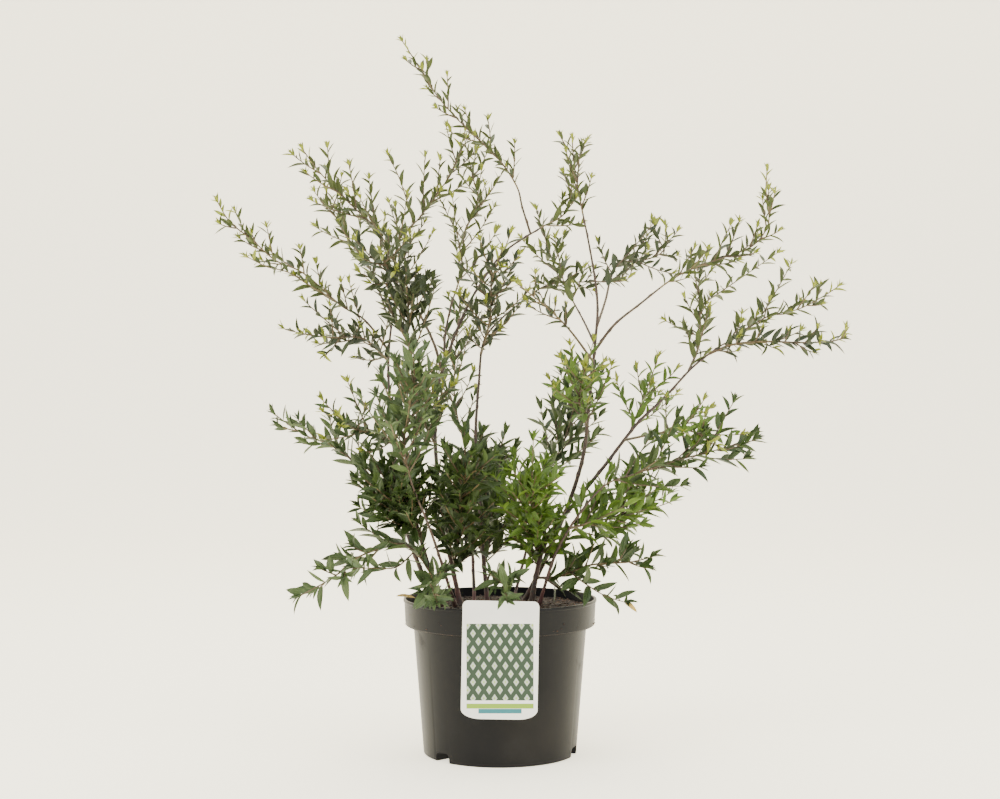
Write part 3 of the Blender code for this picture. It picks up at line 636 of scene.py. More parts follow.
chips = bpy.data.objects.new("bark_chips", compost.data.copy())
bpy.context.scene.collection.objects.link(chips)
chip_recipe().run(chips, Density=CHIPS_PER_SQUARE_METRE, Chip_size=CHIP_SIZE, Seed=3,
                  Material=chip_paint.material)
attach(chips, "root")
print("bark chips:", len(chips.data.polygons), "faces")

# %% [markdown]
# The label is a stiff card with rounded corners in front of the lip. A tongue on its back hooks
# over the lip and holds it there. Card, bridge and tail are outlines given a thickness, joined
# by Booleans so that they are one closed mesh.

# %% Label
LABEL_WIDTH = 71 * MM
LABEL_HEIGHT = 109.5 * MM
LABEL_THICKNESS = 0.8 * MM
LABEL_TOP = 159.5 * MM
LABEL_TOP_CORNER = (5 * MM, 5 * MM)
LABEL_FOOT_CORNER = (18 * MM, 9 * MM)
CORNER_STEPS = 12
LABEL_LEAN = math.radians(1)
LABEL_FACE = LIP_RADIUS + 0.5 * MM
TONGUE_WIDTH = 18 * MM
TONGUE_OVER = POT_HEIGHT + 1.2 * MM
TONGUE_BACK = 90.2 * MM
TONGUE_FOOT = 131.5 * MM


def card_outline():
    half, top, foot = LABEL_WIDTH / 2, LABEL_TOP, LABEL_TOP - LABEL_HEIGHT
    corners = [
        (half, foot, -1, LABEL_FOOT_CORNER, -90),
        (half, top, 1, LABEL_TOP_CORNER, 0),
        (-half, top, 1, LABEL_TOP_CORNER, 90),
        (-half, foot, -1, LABEL_FOOT_CORNER, 180),
    ]
    outline = []
    for x, z, up, (wide, high), start in corners:
        for k in range(CORNER_STEPS + 1):
            a = math.radians(start + 90 * k / CORNER_STEPS)
            outline.append((x - math.copysign(wide, x) + wide * math.cos(a),
                            z - up * high + high * math.sin(a)))
    return outline


def label_mesh():
    middle = LABEL_TOP - LABEL_HEIGHT / 2
    cos, sin = math.cos(LABEL_LEAN), math.sin(LABEL_LEAN)
    leaning = [(s * cos + (h - middle) * sin, middle + (h - middle) * cos - s * sin)
               for s, h in card_outline()]
    made = prism("label_card", leaning, (LABEL_FACE, LABEL_FACE + LABEL_THICKNESS))
    half, thick = TONGUE_WIDTH / 2, LABEL_THICKNESS
    top = [(half, TONGUE_OVER + thick), (-half, TONGUE_OVER + thick)]
    bridge = [(-half, TONGUE_OVER), (half, TONGUE_OVER), *top]
    tail = [(-half, TONGUE_FOOT), (half, TONGUE_FOOT), *top]
    combine(made, prism("bridge", bridge, (TONGUE_BACK - thick / 2, LABEL_FACE + thick / 2)), "UNION")
    combine(made, prism("tail", tail, (TONGUE_BACK - thick, TONGUE_BACK)), "UNION")
    return made


label = label_mesh()
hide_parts("label")
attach(label, "root")
print("label:", len(label.data.polygons), "faces")

# %% [markdown]
# A label of this kind is printed on white card. The print here is a plain pattern: a field of
# lozenges on dark green, and two strips below it. It could be an image, but sums of masks in
# millimetres keep its edges sharp. A lozenge comes from two slanting saw waves folded at their
# middle, and the larger of the two tells how far a point is from the lozenge's centre.

# %% Label print
WHITE = (0.80, 0.80, 0.77)
FIELD = (0.008, 0.032, 0.012)
LOZENGE = (0.42, 0.47, 0.40)
HEART = (0.30, 0.42, 0.10)
LIME = (0.20, 0.34, 0.015)
TEAL = (0.01, 0.15, 0.18)
PRINT_HALF = 31.0
TEAL_HALF = 20.0
FIELD_HEIGHTS = (-92.0, -21.0)
LIME_HEIGHTS = (-99.5, -95.0)
TEAL_HEIGHTS = (-104.0, -99.8)
LOZENGE_PITCH = 9.0

card = Paint("label_card")
where = card.place()
x, y, z = card.parts(where)
across = x / MM
height = (z - LABEL_TOP) / MM
front = card.step(y, -(LABEL_FACE + LABEL_THICKNESS * 0.9), -(LABEL_FACE + LABEL_THICKNESS))
print_width = card.band(across, -PRINT_HALF, PRINT_HALF)
field = print_width * card.band(height, *FIELD_HEIGHTS)
lime_strip = card.band(height, *LIME_HEIGHTS) * print_width
teal_strip = card.band(height, *TEAL_HEIGHTS) * card.band(across, -TEAL_HALF, TEAL_HALF)


def saw(distance):
    """0 in the middle of every pitch and 0.5 at its ends."""
    return card.math("ABSOLUTE", card.math("FRACT", distance / LOZENGE_PITCH) - 0.5)


rising = across * 0.9 + height * 0.6
falling = across * 0.9 - height * 0.6
from_centre = card.math("MAXIMUM", saw(rising), saw(falling))
ink = card.mix(card.step(from_centre, 0.30, 0.22), FIELD, LOZENGE)
ink = card.mix(card.step(from_centre, 0.12, 0.08), ink, HEART)
ink = card.mix(field, WHITE, ink)
ink = card.mix(lime_strip, ink, LIME)
ink = card.mix(teal_strip, ink, TEAL)
card.colour(card.mix(front, WHITE, ink))
card.rough(0.28 + card.noise(where, 120.0, 3.0) * 0.1)
card.bump(card.noise(where, 700.0), 0.00004)
label.data.materials.clear()
label.data.materials.append(card.material)
print("label print:", len(card.tree.nodes), "nodes")

# %% [markdown]
# A shrub could be grown by a rule alone, but then it is some shrub and not this one. So each
# stem that shows has a row of points, as it looks from the front in millimetres, and its depth is
# given apart. A cane grows from the compost. A bough and a spray leave another limb.

# %% Kinds of shoot
def cane(name, points, depths, thick, wood, leaf, spacing, **more):
    """A cane from the soil. wood is the share of its length that stays bare of leaves."""
    return dict(name=name, parent=None, points=points, depths=depths, thick=thick,
                wood=wood, leaf=leaf, spacing=spacing, limb="cane_" + name, **more)


def bough(name, parent, points, depth, thick, wood, leaf, spacing, **more):
    """A limb that leaves another one, and its leafy end."""
    return dict(name=name, parent=parent, points=points, depths=(None, depth), thick=thick,
                wood=wood, leaf=leaf, spacing=spacing, limb="bough_" + name, **more)


def spray(name, parent, points, depth, leaf, spacing, **more):
    """A leafy shoot with a stem of its own, seated on the limb named parent."""
    return dict(name=name, parent=parent, points=points, depths=(None, depth),
                wood=0, leaf=leaf, spacing=spacing, limb=None, **more)


print("a spray is told by", len(spray("any", "other", [], 0, 0, 0)), "values")

# %% The table of shoots
# Points are (across, height) from the front, depths run from the foot to the tip, thick is the
# diameter at the foot and at the tip, leaf the leaves' length and spacing the way between them.
# twigs asks for more side twigs by rule, each of sides is one with a course of its own, and bare
# is the share of the stem that has neither leaves nor twigs.
SHOOTS = [
    cane("left", [(-62, 143), (-81, 186), (-98, 240), (-105, 306), (-110, 380), (-104, 440), (-94, 505),
                  (-80, 524), (-69, 540), (-46, 572), (-34, 612)], (0, 75), (4.6, 2.0), 0.62, 29, 12,
         twigs=2, sides=[(0.42, [(-98, 561), (-111, 588)], 20)]),
    cane("left_inner", [(-58, 143), (-72, 188), (-86, 245), (-83, 300), (-82, 355), (-91, 416),
                        (-88, 452)], (-20, -75), (4.2, 1.8), 0.8, 30, 10, twigs=1),
    cane("middle", [(-39, 143), (-52, 208), (-63, 290), (-62, 350), (-52, 388), (-37, 427), (-21, 457),
                    (4, 491), (40, 515), (65, 531), (72, 567)], (5, 60), (4.8, 1.8), 0.86, 29, 8.5),
    cane("centre", [(-12, 143), (-17, 198), (-22, 272), (-24, 311), (-21, 360), (-16, 403), (2, 426),
                    (23, 443), (48, 459), (89, 462), (123, 463), (130, 474)], (15, 120), (4.4, 1.6), 0.76,
         28, 10),
    cane("right", [(22, 143), (44, 188), (67, 242), (82, 291), (88, 345), (93, 395), (96, 440),
                   (90, 486), (79, 542), (73, 578), (71, 604)], (20, -30), (5.0, 1.7), 0.85, 26, 8.5,
         sides=[(0.4, [(79, 590), (86, 602)], 5)]),
    cane("far_right", [(30, 143), (44, 203), (76, 247), (104, 282), (134, 321), (162, 348), (190, 378),
                       (216, 398), (229, 405), (262, 427), (294, 435), (319, 448), (334, 458)],
         (-10, 50), (5.0, 1.8), 0.7, 30, 11, sides=[(0.35, [(275, 458), (287, 480)], 90)]),
    cane("low_right", [(38, 143), (59, 203), (98, 257), (131, 272), (178, 287), (216, 297), (251, 306)],
         (-25, -110), (3.4, 1.6), 0.5, 32, 12, twigs=1),
    cane("back_left", [(-25, 143), (-28, 215), (-33, 288), (-43, 335), (-45, 365), (-42, 410),
                       (-35, 450)], (35, 210), (3.6, 1.8), 0.5, 33, 12, twigs=2),
    cane("back_right", [(12, 143), (30, 215), (39, 257), (55, 288), (68, 318), (78, 345), (86, 375)],
         (40, 200), (3.4, 1.6), 0.5, 33, 12, twigs=2),
    cane("front", [(-44, 143), (-67, 213), (-88, 267), (-94, 306), (-88, 345), (-80, 385)],
         (-35, -180), (3.2, 1.6), 0.55, 32, 12, twigs=2),

    bough("far_left", "left", [(-110, 395), (-133, 424), (-157, 439), (-193, 470), (-221, 483),
                               (-244, 503), (-266, 521), (-279, 542)], -80, (2.8, 1.8), 0.22, 29, 11,
          sides=[(0.16, [(-187, 458), (-208, 471), (-230, 477), (-250, 487)], -120)]),
    bough("left_high", "left", [(-108, 418), (-119, 453), (-130, 478), (-153, 509), (-166, 536),
                                (-172, 553)], 120, (2.4, 1.7), 0.3, 29, 10, twigs=1),
    bough("middle_left", "middle", [(-61, 373), (-65, 401), (-79, 430), (-94, 456), (-105, 484),
                                    (-121, 513), (-148, 539), (-176, 568), (-195, 593)], -70,
          (3.2, 1.7), 0.44, 29, 10, twigs=1),
    bough("middle_up", "middle", [(-57, 380), (-54, 409), (-48, 439), (-39, 469), (-34, 514),
                                  (-20, 535), (-26, 564), (-24, 591)], 110, (2.8, 1.7), 0.34, 29, 10,
          twigs=2),
    bough("top", "middle", [(30, 508), (22, 535), (16, 557), (-4, 586), (-32, 612), (-61, 644),
                            (-89, 688), (-97, 700)], 20, (2.4, 1.7), 0.2, 26, 10),
    bough("right_up", "right", [(93, 400), (82, 424), (64, 457), (55, 473), (44, 508)], 130,
          (2.4, 1.7), 0.36, 30, 10, twigs=1),
    bough("right_outer", "right", [(94, 392), (112, 419), (139, 441), (172, 466), (203, 480),
                                   (245, 495), (262, 513), (265, 530), (262, 551), (263, 573)], -80,
          (3.0, 1.8), 0.34, 28, 10, sides=[(0.4, [(229, 503), (236, 522)], -40)]),

    spray("left_side", "left", [(-110, 383), (-124, 398), (-138, 407), (-167, 407), (-195, 411)], -120,
          29, 11, twigs=1),
    spray("left_low", "left", [(-101, 232), (-119, 251), (-145, 285), (-166, 301), (-192, 311),
                               (-223, 332)], 40, 29, 9, bare=0.3),
    spray("left_middle", "left", [(-105, 301), (-122, 311), (-145, 318), (-161, 330)], -90, 30, 10,
          twigs=1),
    spray("crown_left", "bough_middle_left", [(-90, 448), (-104, 463), (-118, 490)], -120, 32, 10.5, twigs=2),
    spray("crown_centre", "centre", [(-18, 390), (-10, 425), (-8, 462), (2, 494)], -90, 32, 12, twigs=3),
    spray("right_inner", "right", [(90, 383), (69, 414), (48, 435), (30, 450), (17, 460)], -110, 28, 12,
          bare=0.35),
    spray("right_fork", "right", [(96, 416), (104, 444), (110, 469), (120, 481), (141, 483),
                                  (161, 493), (163, 518)], 120, 29, 10, bare=0.28, twigs=1),
    spray("right_middle", "right", [(85, 318), (78, 345), (84, 378)], -80, 32, 10.5, twigs=2),
    spray("far_right_fan", "far_right", [(186, 374), (196, 400), (197, 430), (196, 462), (205, 489)],
          110, 31, 11, sides=[(0.3, [(182, 414), (162, 424)], 60), (0.55, [(232, 462), (274, 491)], 150)]),
    spray("far_right_lower", "far_right", [(206, 391), (229, 400), (262, 403), (302, 402), (334, 405),
                                           (341, 416)], -110, 30, 11),
    spray("far_right_side", "far_right", [(128, 314), (137, 336), (150, 360)], 60, 31, 9, twigs=1),
    spray("right_droop", "far_right", [(122, 306), (157, 313), (187, 315), (214, 300)], -130, 31, 11,
          bare=0.25, twigs=1),
    spray("foot_left", "left_inner", [(-70, 182), (-93, 203), (-115, 200), (-143, 189), (-164, 171),
                                      (-198, 152)], -70, 34, 11,
          sides=[(0.14, [(-102, 181), (-122, 180), (-147, 180)], -95)]),
    spray("foot_right", "far_right", [(38, 170), (59, 172), (89, 183), (128, 186), (150, 191)], -70,
          34, 11, sides=[(0.3, [(82, 166), (103, 153), (124, 146)], -100)]),
    spray("rim_left", "left_inner", [(-62, 156), (-66, 172), (-68, 165), (-62, 146)], -112, 32, 10),
    spray("rim_front", "centre", [(-14, 164), (-8, 177), (1, 169), (7, 148)], -112, 30, 10, bare=0.45),
    spray("heart_left", "left_inner", [(-78, 212), (-94, 232), (-108, 262)], -90, 35, 12, twigs=3),
    spray("heart_front", "middle", [(-46, 178), (-40, 215), (-38, 255), (-28, 292)], -115, 35, 12, twigs=3),
    spray("heart_back", "centre", [(-16, 180), (-8, 222), (-12, 262), (-2, 296)], 120, 35, 12, twigs=3),
    spray("heart_right", "right", [(38, 176), (34, 210), (28, 240), (36, 272)], -105, 35, 12, twigs=3),
    spray("heart_far_right", "low_right", [(70, 218), (96, 226), (126, 236), (138, 256)], 10, 35, 12,
          twigs=2),
    spray("middle_leafy", "middle", [(-63, 300), (-74, 325), (-66, 356)], -60, 33, 10.5, twigs=2),
]

print("shoots:", len(SHOOTS))

# %% [markdown]
# A stem bends without corners, so each shoot follows one smooth curve through its points, of the
# kind that passes every knot. A Blender curve object could hold it, but the twigs and leaves
# have to know their place and direction on it, which a plain list of points tells at once.

# %% Curves
PATH_STEP = 4 * MM
UP = Vector((0, 0, 1))


def smooth_path(knots):
    """Points PATH_STEP apart on one smooth curve through the knots."""
    ends = [2 * knots[0] - knots[1], *knots, 2 * knots[-1] - knots[-2]]
    fine = [knots[0].copy()]
    for before, a, b, after in zip(ends, ends[1:], ends[2:], ends[3:]):
        pieces = max(2, round((b - a).length / PATH_STEP))
        for k in range(1, pieces + 1):
            t = k / pieces
            fine.append(0.5 * (2 * a + (b - before) * t + (2 * before - 5 * a + 4 * b - after) * t * t
                               + (3 * a - before - 3 * b + after) * t ** 3))
    return fine


def lengths_along(path):
    total = [0.0]
    for a, b in zip(path, path[1:]):
        total.append(total[-1] + (b - a).length)
    return total


def path_length(path):
    return lengths_along(path)[-1]


def point_at(path, share):
    """(place, direction) at a share of the path's length."""
    total = lengths_along(path)
    wanted = min(max(share, 0), 1) * total[-1]
    for k in range(1, len(path)):
        if total[k] >= wanted or k == len(path) - 1:
            step = path[k] - path[k - 1]
            part = (wanted - total[k - 1]) / step.length
            return path[k - 1] + step * part, step.normalized()


def stretch_of(path, first, last):
    """The part of a path between two shares of its length."""
    total = lengths_along(path)
    inner = [p for p, s in zip(path, total) if first * total[-1] < s < last * total[-1]]
    return [point_at(path, first)[0], *inner, point_at(path, last)[0]]


print("a straight path of 100 mm has", len(smooth_path([UP * 0, UP * 0.1])), "points")

# %% Directions round a curve
def across_of(direction):
    """A unit vector square to the direction, much the same for directions that are much the same."""
    helper = Vector((0, 1, 0)) if abs(direction.y) < 0.8 else Vector((1, 0, 0))
    return direction.cross(helper).normalized()


def square_to(direction, near):
    """The unit vector square to the direction that is nearest to another one."""
    return (near - direction * near.dot(direction)).normalized()


def round_axis(axis, u, turn):
    """The unit vector at an angle round an axis, counted from u, which is square to it."""
    return u * math.cos(turn) + axis.cross(u) * math.sin(turn)


def stations(path, step, fewest):
    """(share, place, direction, u) at even steps along a path, with u square to it and untwisted."""
    count = max(fewest, round(path_length(path) / step))
    found = []
    u = None
    for k in range(count + 1):
        place, direction = point_at(path, k / count)
        u = square_to(direction, u) if u else across_of(direction)
        found.append((k / count, place, direction, u))
    return found


print("square to up:", tuple(across_of(UP)))

# %% [markdown]
# The points say how the shoot looks from the camera, and what stands further away looks smaller.
# So a point is moved away from the middle of the view by as much as its depth makes it shrink.
# A shoot that leaves another limb starts on that limb, at the spot that looks nearest.

# %% Paths of the shoots
SEAT_STEPS = 120


def front_view(across, height, depth):
    """The place, in metres, of what looks to be at (across, height) from the front."""
    stretch = 1 + depth / VIEW_DISTANCE
    return Vector((across * stretch, depth, EYE_HEIGHT + (height - EYE_HEIGHT) * stretch)) * MM


def seen_from_front(place):
    """The (across, height) at which a place looks to be, in millimetres."""
    stretch = 1 + place.y / MM / VIEW_DISTANCE
    return Vector((place.x / MM / stretch, EYE_HEIGHT + (place.z / MM - EYE_HEIGHT) / stretch))


def lay_out(shoot, laid):
    """Gives a shoot its path, and starts it on the limb that it leaves."""
    points = shoot["points"]
    first, last = shoot["depths"]
    start = None
    if shoot["parent"]:
        line = laid[shoot["parent"]]["wood_path"]
        spots = [point_at(line, k / SEAT_STEPS)[0] for k in range(1, SEAT_STEPS)]
        start = min(spots, key=lambda spot: (seen_from_front(spot) - Vector(points[0])).length)
        first = start.y / MM
    spans = [0.0]
    for a, b in zip(points, points[1:]):
        spans.append(spans[-1] + math.dist(a, b))
    knots = [front_view(x, z, first + (last - first) * s / spans[-1]) for (x, z), s in zip(points, spans)]
    if start:
        knots[0] = start
    shoot["path"] = smooth_path(knots)
    if shoot["limb"]:
        shoot["wood_path"] = stretch_of(shoot["path"], 0, shoot["wood"])
        laid[shoot["limb"]] = shoot
    laid[shoot["name"]] = shoot


laid = {}
for shoot in SHOOTS:
    lay_out(shoot, laid)
print("laid out:", len(laid), "names")

# %% [markdown]
# Wood is never a plain cylinder. A cane has furrows along it, a scar where each old bud sat, and
# a flared foot. These forms show in its outline, so they are in the mesh: the radius of every
# point of every ring is worked out from waves round the stem and bumps at the scars.

# %% Bark relief
BARK_SIDES = 18
BARK_STEP = 1.6 * MM
BARK_WAVES = 7
WAVES_ROUND = (2, 3, 5, 7, 9)
FURROW_DEPTH = 0.09
SCAR_SWELLING = 0.07
FLARE_HEIGHT = 14 * MM
FLARE_RATIO = 1.7
SCAR_SPACING = 13 * MM
SCAR_HEIGHT = 0.55 * MM
SCAR_LENGTH = 2.2 * MM
GOLDEN_ANGLE = math.radians(137.5)
BOUGH_SEED = 50


def scars_of(length, rng):
    """(way along, angle) of the bud scars of a limb, which wind round it."""
    scars = []
    place, turn = SCAR_SPACING, rng.uniform(0, math.tau)
    while place < length:
        scars.append((place, turn))
        place += SCAR_SPACING * rng.uniform(0.7, 1.4)
        turn += GOLDEN_ANGLE
    return scars


def barked(path, thick, seed, flared):
    """A limb with furrowed bark and bud scars."""
    rng = random.Random(seed)
    length = path_length(path)
    scars = scars_of(length, rng)
    waves = [(rng.choice(WAVES_ROUND), rng.uniform(30, 160), rng.uniform(0, math.tau))
             for _ in range(BARK_WAVES)]
    rings = []
    for share, centre, direction, u in stations(path, BARK_STEP, 4):
        along = share * length
        base = (thick[0] + (thick[1] - thick[0]) * share) / 2 * MM
        if flared:
            base *= 1 + (FLARE_RATIO - 1) * max(0.0, 1 - along / FLARE_HEIGHT) ** 2
        bumps = [(math.exp(-((along - s) / SCAR_LENGTH) ** 2), turn) for s, turn in scars]
        swelling = SCAR_SWELLING * sum(height for height, _ in bumps)
        near = [bump for bump, (s, _) in zip(bumps, scars) if abs(along - s) < 3 * SCAR_LENGTH]
        ring = []
        for i in range(BARK_SIDES):
            a = math.tau * i / BARK_SIDES
            furrow = sum(math.sin(n * a + along * f + start) for n, f, start in waves) / len(waves)
            radius = base * (1 + FURROW_DEPTH * furrow + swelling)
            for height, turn in near:
                radius += SCAR_HEIGHT * height * max(0.0, math.cos(a - turn)) ** 4
            ring.append(centre + round_axis(direction, u, a) * radius)
        rings.append(ring)
    return closed_tube(rings)


def joined(name, meshes):
    """One object from many (vertices, faces) pairs."""
    vertices, faces = [], []
    for more, corners in meshes:
        faces += [tuple(i + len(vertices) for i in face) for face in corners]
        vertices += more
    return plain_object(name, vertices, faces)


canes = joined("canes", [barked(shoot["wood_path"], shoot["thick"], seed, True)
                         for seed, shoot in enumerate(SHOOTS) if shoot["limb"] and not shoot["parent"]])
boughs = joined("boughs", [barked(shoot["wood_path"], shoot["thick"], BOUGH_SEED + seed, False)
                           for seed, shoot in enumerate(SHOOTS) if shoot["limb"] and shoot["parent"]])
print("bark:", len(canes.data.polygons) + len(boughs.data.polygons), "faces")

# %% [markdown]
# Young bark is light brown and older bark nearly black, in streaks along the stem, with pale
# pores and a red tinge near the foot. What is finer than the rings of the mesh is left to bump.

# %% Bark paint
def bark_paint(name, young, old, foot):
    """Brown bark with streaks and pale specks, redder near the foot."""
    paint = Paint(name)
    where = paint.place()
    height = paint.parts(where)[2]
    streak = paint.step(paint.noise(where, 420.0, 4.0, 0.6), 0.38, 0.68)
    patch = paint.step(paint.noise(where, 55.0), 0.4, 0.66)
    tone = paint.mix(streak, old, young)
    tone = paint.mix(paint.step(height, 0.21, 0.15) * patch, tone, foot)
    speck = paint.step(paint.noise(where, 1300.0, 1.0), 0.68, 0.74)
    paint.colour(paint.mix(speck * 0.6, tone, (0.16, 0.11, 0.08)))
    paint.rough(0.5 + streak * 0.25)
    paint.bump(paint.noise(where, 900.0, 4.0, 0.7), 0.0003)
    return paint.material


CANE_BARK = ((0.075, 0.045, 0.03), (0.022, 0.013, 0.01), (0.11, 0.045, 0.042))
BOUGH_BARK = ((0.085, 0.055, 0.032), (0.03, 0.019, 0.012), (0.1, 0.05, 0.04))
canes.data.materials.append(bark_paint("cane_bark", *CANE_BARK))
boughs.data.materials.append(bark_paint("bough_bark", *BOUGH_BARK))
for thing in (canes, boughs):
    thing.data.shade_smooth()
    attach(thing, "root")
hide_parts(*[s["limb"] for s in SHOOTS if s["limb"] and not s["parent"]])
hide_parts(*[s["limb"] for s in SHOOTS if s["limb"] and s["parent"]])
print("limbs:", sum(1 for s in SHOOTS if s["limb"]))

# %% [markdown]
# Leaves of a spirea sit in a spiral, each about 137 degrees round the stem from the last, and
# get shorter towards the tip, where a tuft of new ones stands. Side twigs follow the same
# spiral. This is the rule that shaped the solids, run finer here, because the leaves have their
# real size and so there are more of them. Each shoot draws from a seed of its own.

# %% Sizes of twigs and leaves
STEM_RADII = (1.5 * MM, 0.55 * MM)
SIDE_TWIG_RADII = (0.8 * MM, 0.4 * MM)
SPRAY_STEM_SHARE = 0.85
LEAF_LEAN = math.radians(46)
LEAF_LEAN_SPREAD = math.radians(14)
LEAF_ROLL = math.radians(40)
LEAF_RISE = 0.28
LEAF_FACE_RISE = 0.7
LEAF_WIDTH_SHARES = (0.24, 0.31)
LEAF_SIZE_SPREAD = (0.72, 1.15)
TIP_SHORTENING = 0.42
TURN_SPREAD = 0.3
TUFT_LEAVES = 5
TUFT_STEP = 0.8
TUFT_LEAN = (12, 5)
TUFT_SIZE = (0.3, 0.06)
LOW_LEAVES_BELOW = 300
# The next three pairs are for a shoot that stands high and for one that stands low.
REAL_LEAF_SHARES = (0.68, 0.88)
SPACING_STRETCH = (1, 1.15)
TWIGS_PER_RULED_TWIG = (6, 12)
SPACING_SHARE = 0.5
TIP_SHARE = 0.86
TWIG_LENGTH = 50 * MM
LONG_TWIGS = (0.7, 1.15)
SHORT_TWIGS = (0.3, 0.68)
TWIG_LEAN = math.radians(46)
TWIG_RISE = 0.2
TWIG_TIP_BEND = 0.14
TWIG_SHARES = (0.03, 0.85)
TWIG_SPACING = 15 * MM
TWIG_STATIONS = (0, 0.2, 0.4, 0.6, 0.8, 1)
TWIG_TAPER = (1.12, 0.5)
# Where the row of leaves starts on a stem and on both kinds of side twig, and the leaves' scale.
STEM_ROW_START = 0.02
NAMED_TWIG_ROW = (0.08, 0.95)
RULED_TWIG_ROW = (0.12, 0.92)
print("side twigs up to", round(TWIG_LENGTH * LONG_TWIGS[1] / MM), "mm long")

# %% The growing rule
class Growth:
    """The twigs and leaves of one shoot."""

    def __init__(self, shoot, seed):
        self.random = random.Random(seed)
        self.shoot = shoot
        heights = [z for _, z in shoot["points"]]
        self.low = sum(heights) / len(heights) < LOW_LEAVES_BELOW
        self.length = shoot["leaf"] * REAL_LEAF_SHARES[self.low] * MM
        self.spacing = shoot["spacing"] * SPACING_SHARE * SPACING_STRETCH[self.low] * MM
        self.stem = stretch_of(shoot["path"], shoot["wood"] * 0.99, 1)
        thick = STEM_RADII[0] * SPRAY_STEM_SHARE
        if shoot["wood"]:
            thick = min(STEM_RADII[0], shoot["thick"][1] / 2 * MM)
        self.twigs = [(self.stem, (thick, STEM_RADII[1]))]
        self.grown, self.young = [], []

    def add_leaf(self, place, axis, azimuth, lean, roll, length, young):
        out = round_axis(axis, across_of(axis), azimuth)
        direction = (axis * math.cos(lean) + out * math.sin(lean) + UP * LEAF_RISE).normalized()
        face = round_axis(direction, square_to(direction, axis + UP * LEAF_FACE_RISE), roll)
        wide = self.random.uniform(*LEAF_WIDTH_SHARES)
        leaf = (place, direction, face, length, wide, self.random.random())
        (self.young if young and not self.low else self.grown).append(leaf)

    def leaf_row(self, line, first, scale):
        """Leaves in a spiral along a twig, shorter towards its tip, and a tuft at the end."""
        count = max(3, round(path_length(line) * (1 - first) / self.spacing))
        turn = self.random.uniform(0, math.tau)
        for k in range(count):
            share = first + (1 - first) * (k + 0.5) / count
            place, axis = point_at(line, share)
            size = self.length * scale * (1 - TIP_SHORTENING * share ** 2)
            size *= self.random.uniform(*LEAF_SIZE_SPREAD)
            lean = LEAF_LEAN + self.random.uniform(-1, 1) * LEAF_LEAN_SPREAD
            roll = self.random.uniform(-1, 1) * LEAF_ROLL
            turn += GOLDEN_ANGLE + self.random.uniform(-TURN_SPREAD, TURN_SPREAD)
            self.add_leaf(place, axis, turn, lean, roll, size, share > TIP_SHARE)
        place, axis = point_at(line, 1)
        for k in range(TUFT_LEAVES):
            lean = math.radians(TUFT_LEAN[0] + TUFT_LEAN[1] * k)
            size = self.length * scale * (TUFT_SIZE[0] + TUFT_SIZE[1] * k)
            spot = place - axis * TUFT_STEP * k * MM
            self.add_leaf(spot, axis, turn + GOLDEN_ANGLE * k, lean, 0, size, True)

    def named_twigs(self):
        """Side twigs whose course is given as it looks from the front."""
        for share, points, depth in self.shoot.get("sides", []):
            start, _ = point_at(self.stem, share)
            first = start.y / MM
            knots = [front_view(x, z, first + (depth - first) * (k + 1) / len(points))
                     for k, (x, z) in enumerate(points)]
            line = smooth_path([start, *knots])
            self.twigs.append((line, SIDE_TWIG_RADII))
            self.leaf_row(line, *NAMED_TWIG_ROW)

    def ruled_twigs(self):
        """Side twigs at even shares of the stem, a golden angle round it from one to the next."""
        bare = self.shoot.get("bare", 0)
        asked = self.shoot.get("twigs", 0) * TWIGS_PER_RULED_TWIG[self.low]
        count = max(asked, round(path_length(self.stem) * (1 - bare) / TWIG_SPACING))
        first, last = TWIG_SHARES
        turn = self.random.uniform(0, 1)
        for k in range(count):
            share = bare + first + (last - first - bare) * (k + 0.5) / count
            place, axis = point_at(self.stem, share)
            length = TWIG_LENGTH * self.random.uniform(*(LONG_TWIGS if asked else SHORT_TWIGS))
            length *= TWIG_TAPER[0] - TWIG_TAPER[1] * share
            turn += GOLDEN_ANGLE
            out = round_axis(axis, across_of(axis), turn)
            direction = axis * math.cos(TWIG_LEAN) + out * math.sin(TWIG_LEAN) + UP * TWIG_RISE
            direction.normalize()
            line = [place + direction * length * t + (axis + UP) * length * TWIG_TIP_BEND * t * t
                    for t in TWIG_STATIONS]
            self.twigs.append((line, SIDE_TWIG_RADII))
            self.leaf_row(line, *RULED_TWIG_ROW)

    def grow(self):
        self.named_twigs()
        self.ruled_twigs()
        self.leaf_row(self.stem, self.shoot.get("bare", STEM_ROW_START), 1)
        return self


growths = [Growth(shoot, seed).grow() for seed, shoot in enumerate(SHOOTS)]
print("twigs:", sum(len(g.twigs) for g in growths),
      "leaves:", sum(len(g.grown) + len(g.young) for g in growths))

# %% [markdown]
# Twigs are thin, so a tube of seven sides is round enough. Every second ring is a little wider,
# like the knots where leaves sit. The bark is brown, with lighter patches and dark streaks.

# %% Twigs
TWIG_SIDES = 7
TWIG_STEP = 3 * MM
KNOT_SWELLING = 0.12


def twig_tube(line, radii):
    rings = []
    for k, (share, place, direction, u) in enumerate(stations(line, TWIG_STEP, 2)):
        radius = (radii[0] + (radii[1] - radii[0]) * share) * (1 + KNOT_SWELLING * (k % 2))
        rings.append([place + round_axis(direction, u, math.tau * i / TWIG_SIDES) * radius
                      for i in range(TWIG_SIDES)])
    return closed_tube(rings)


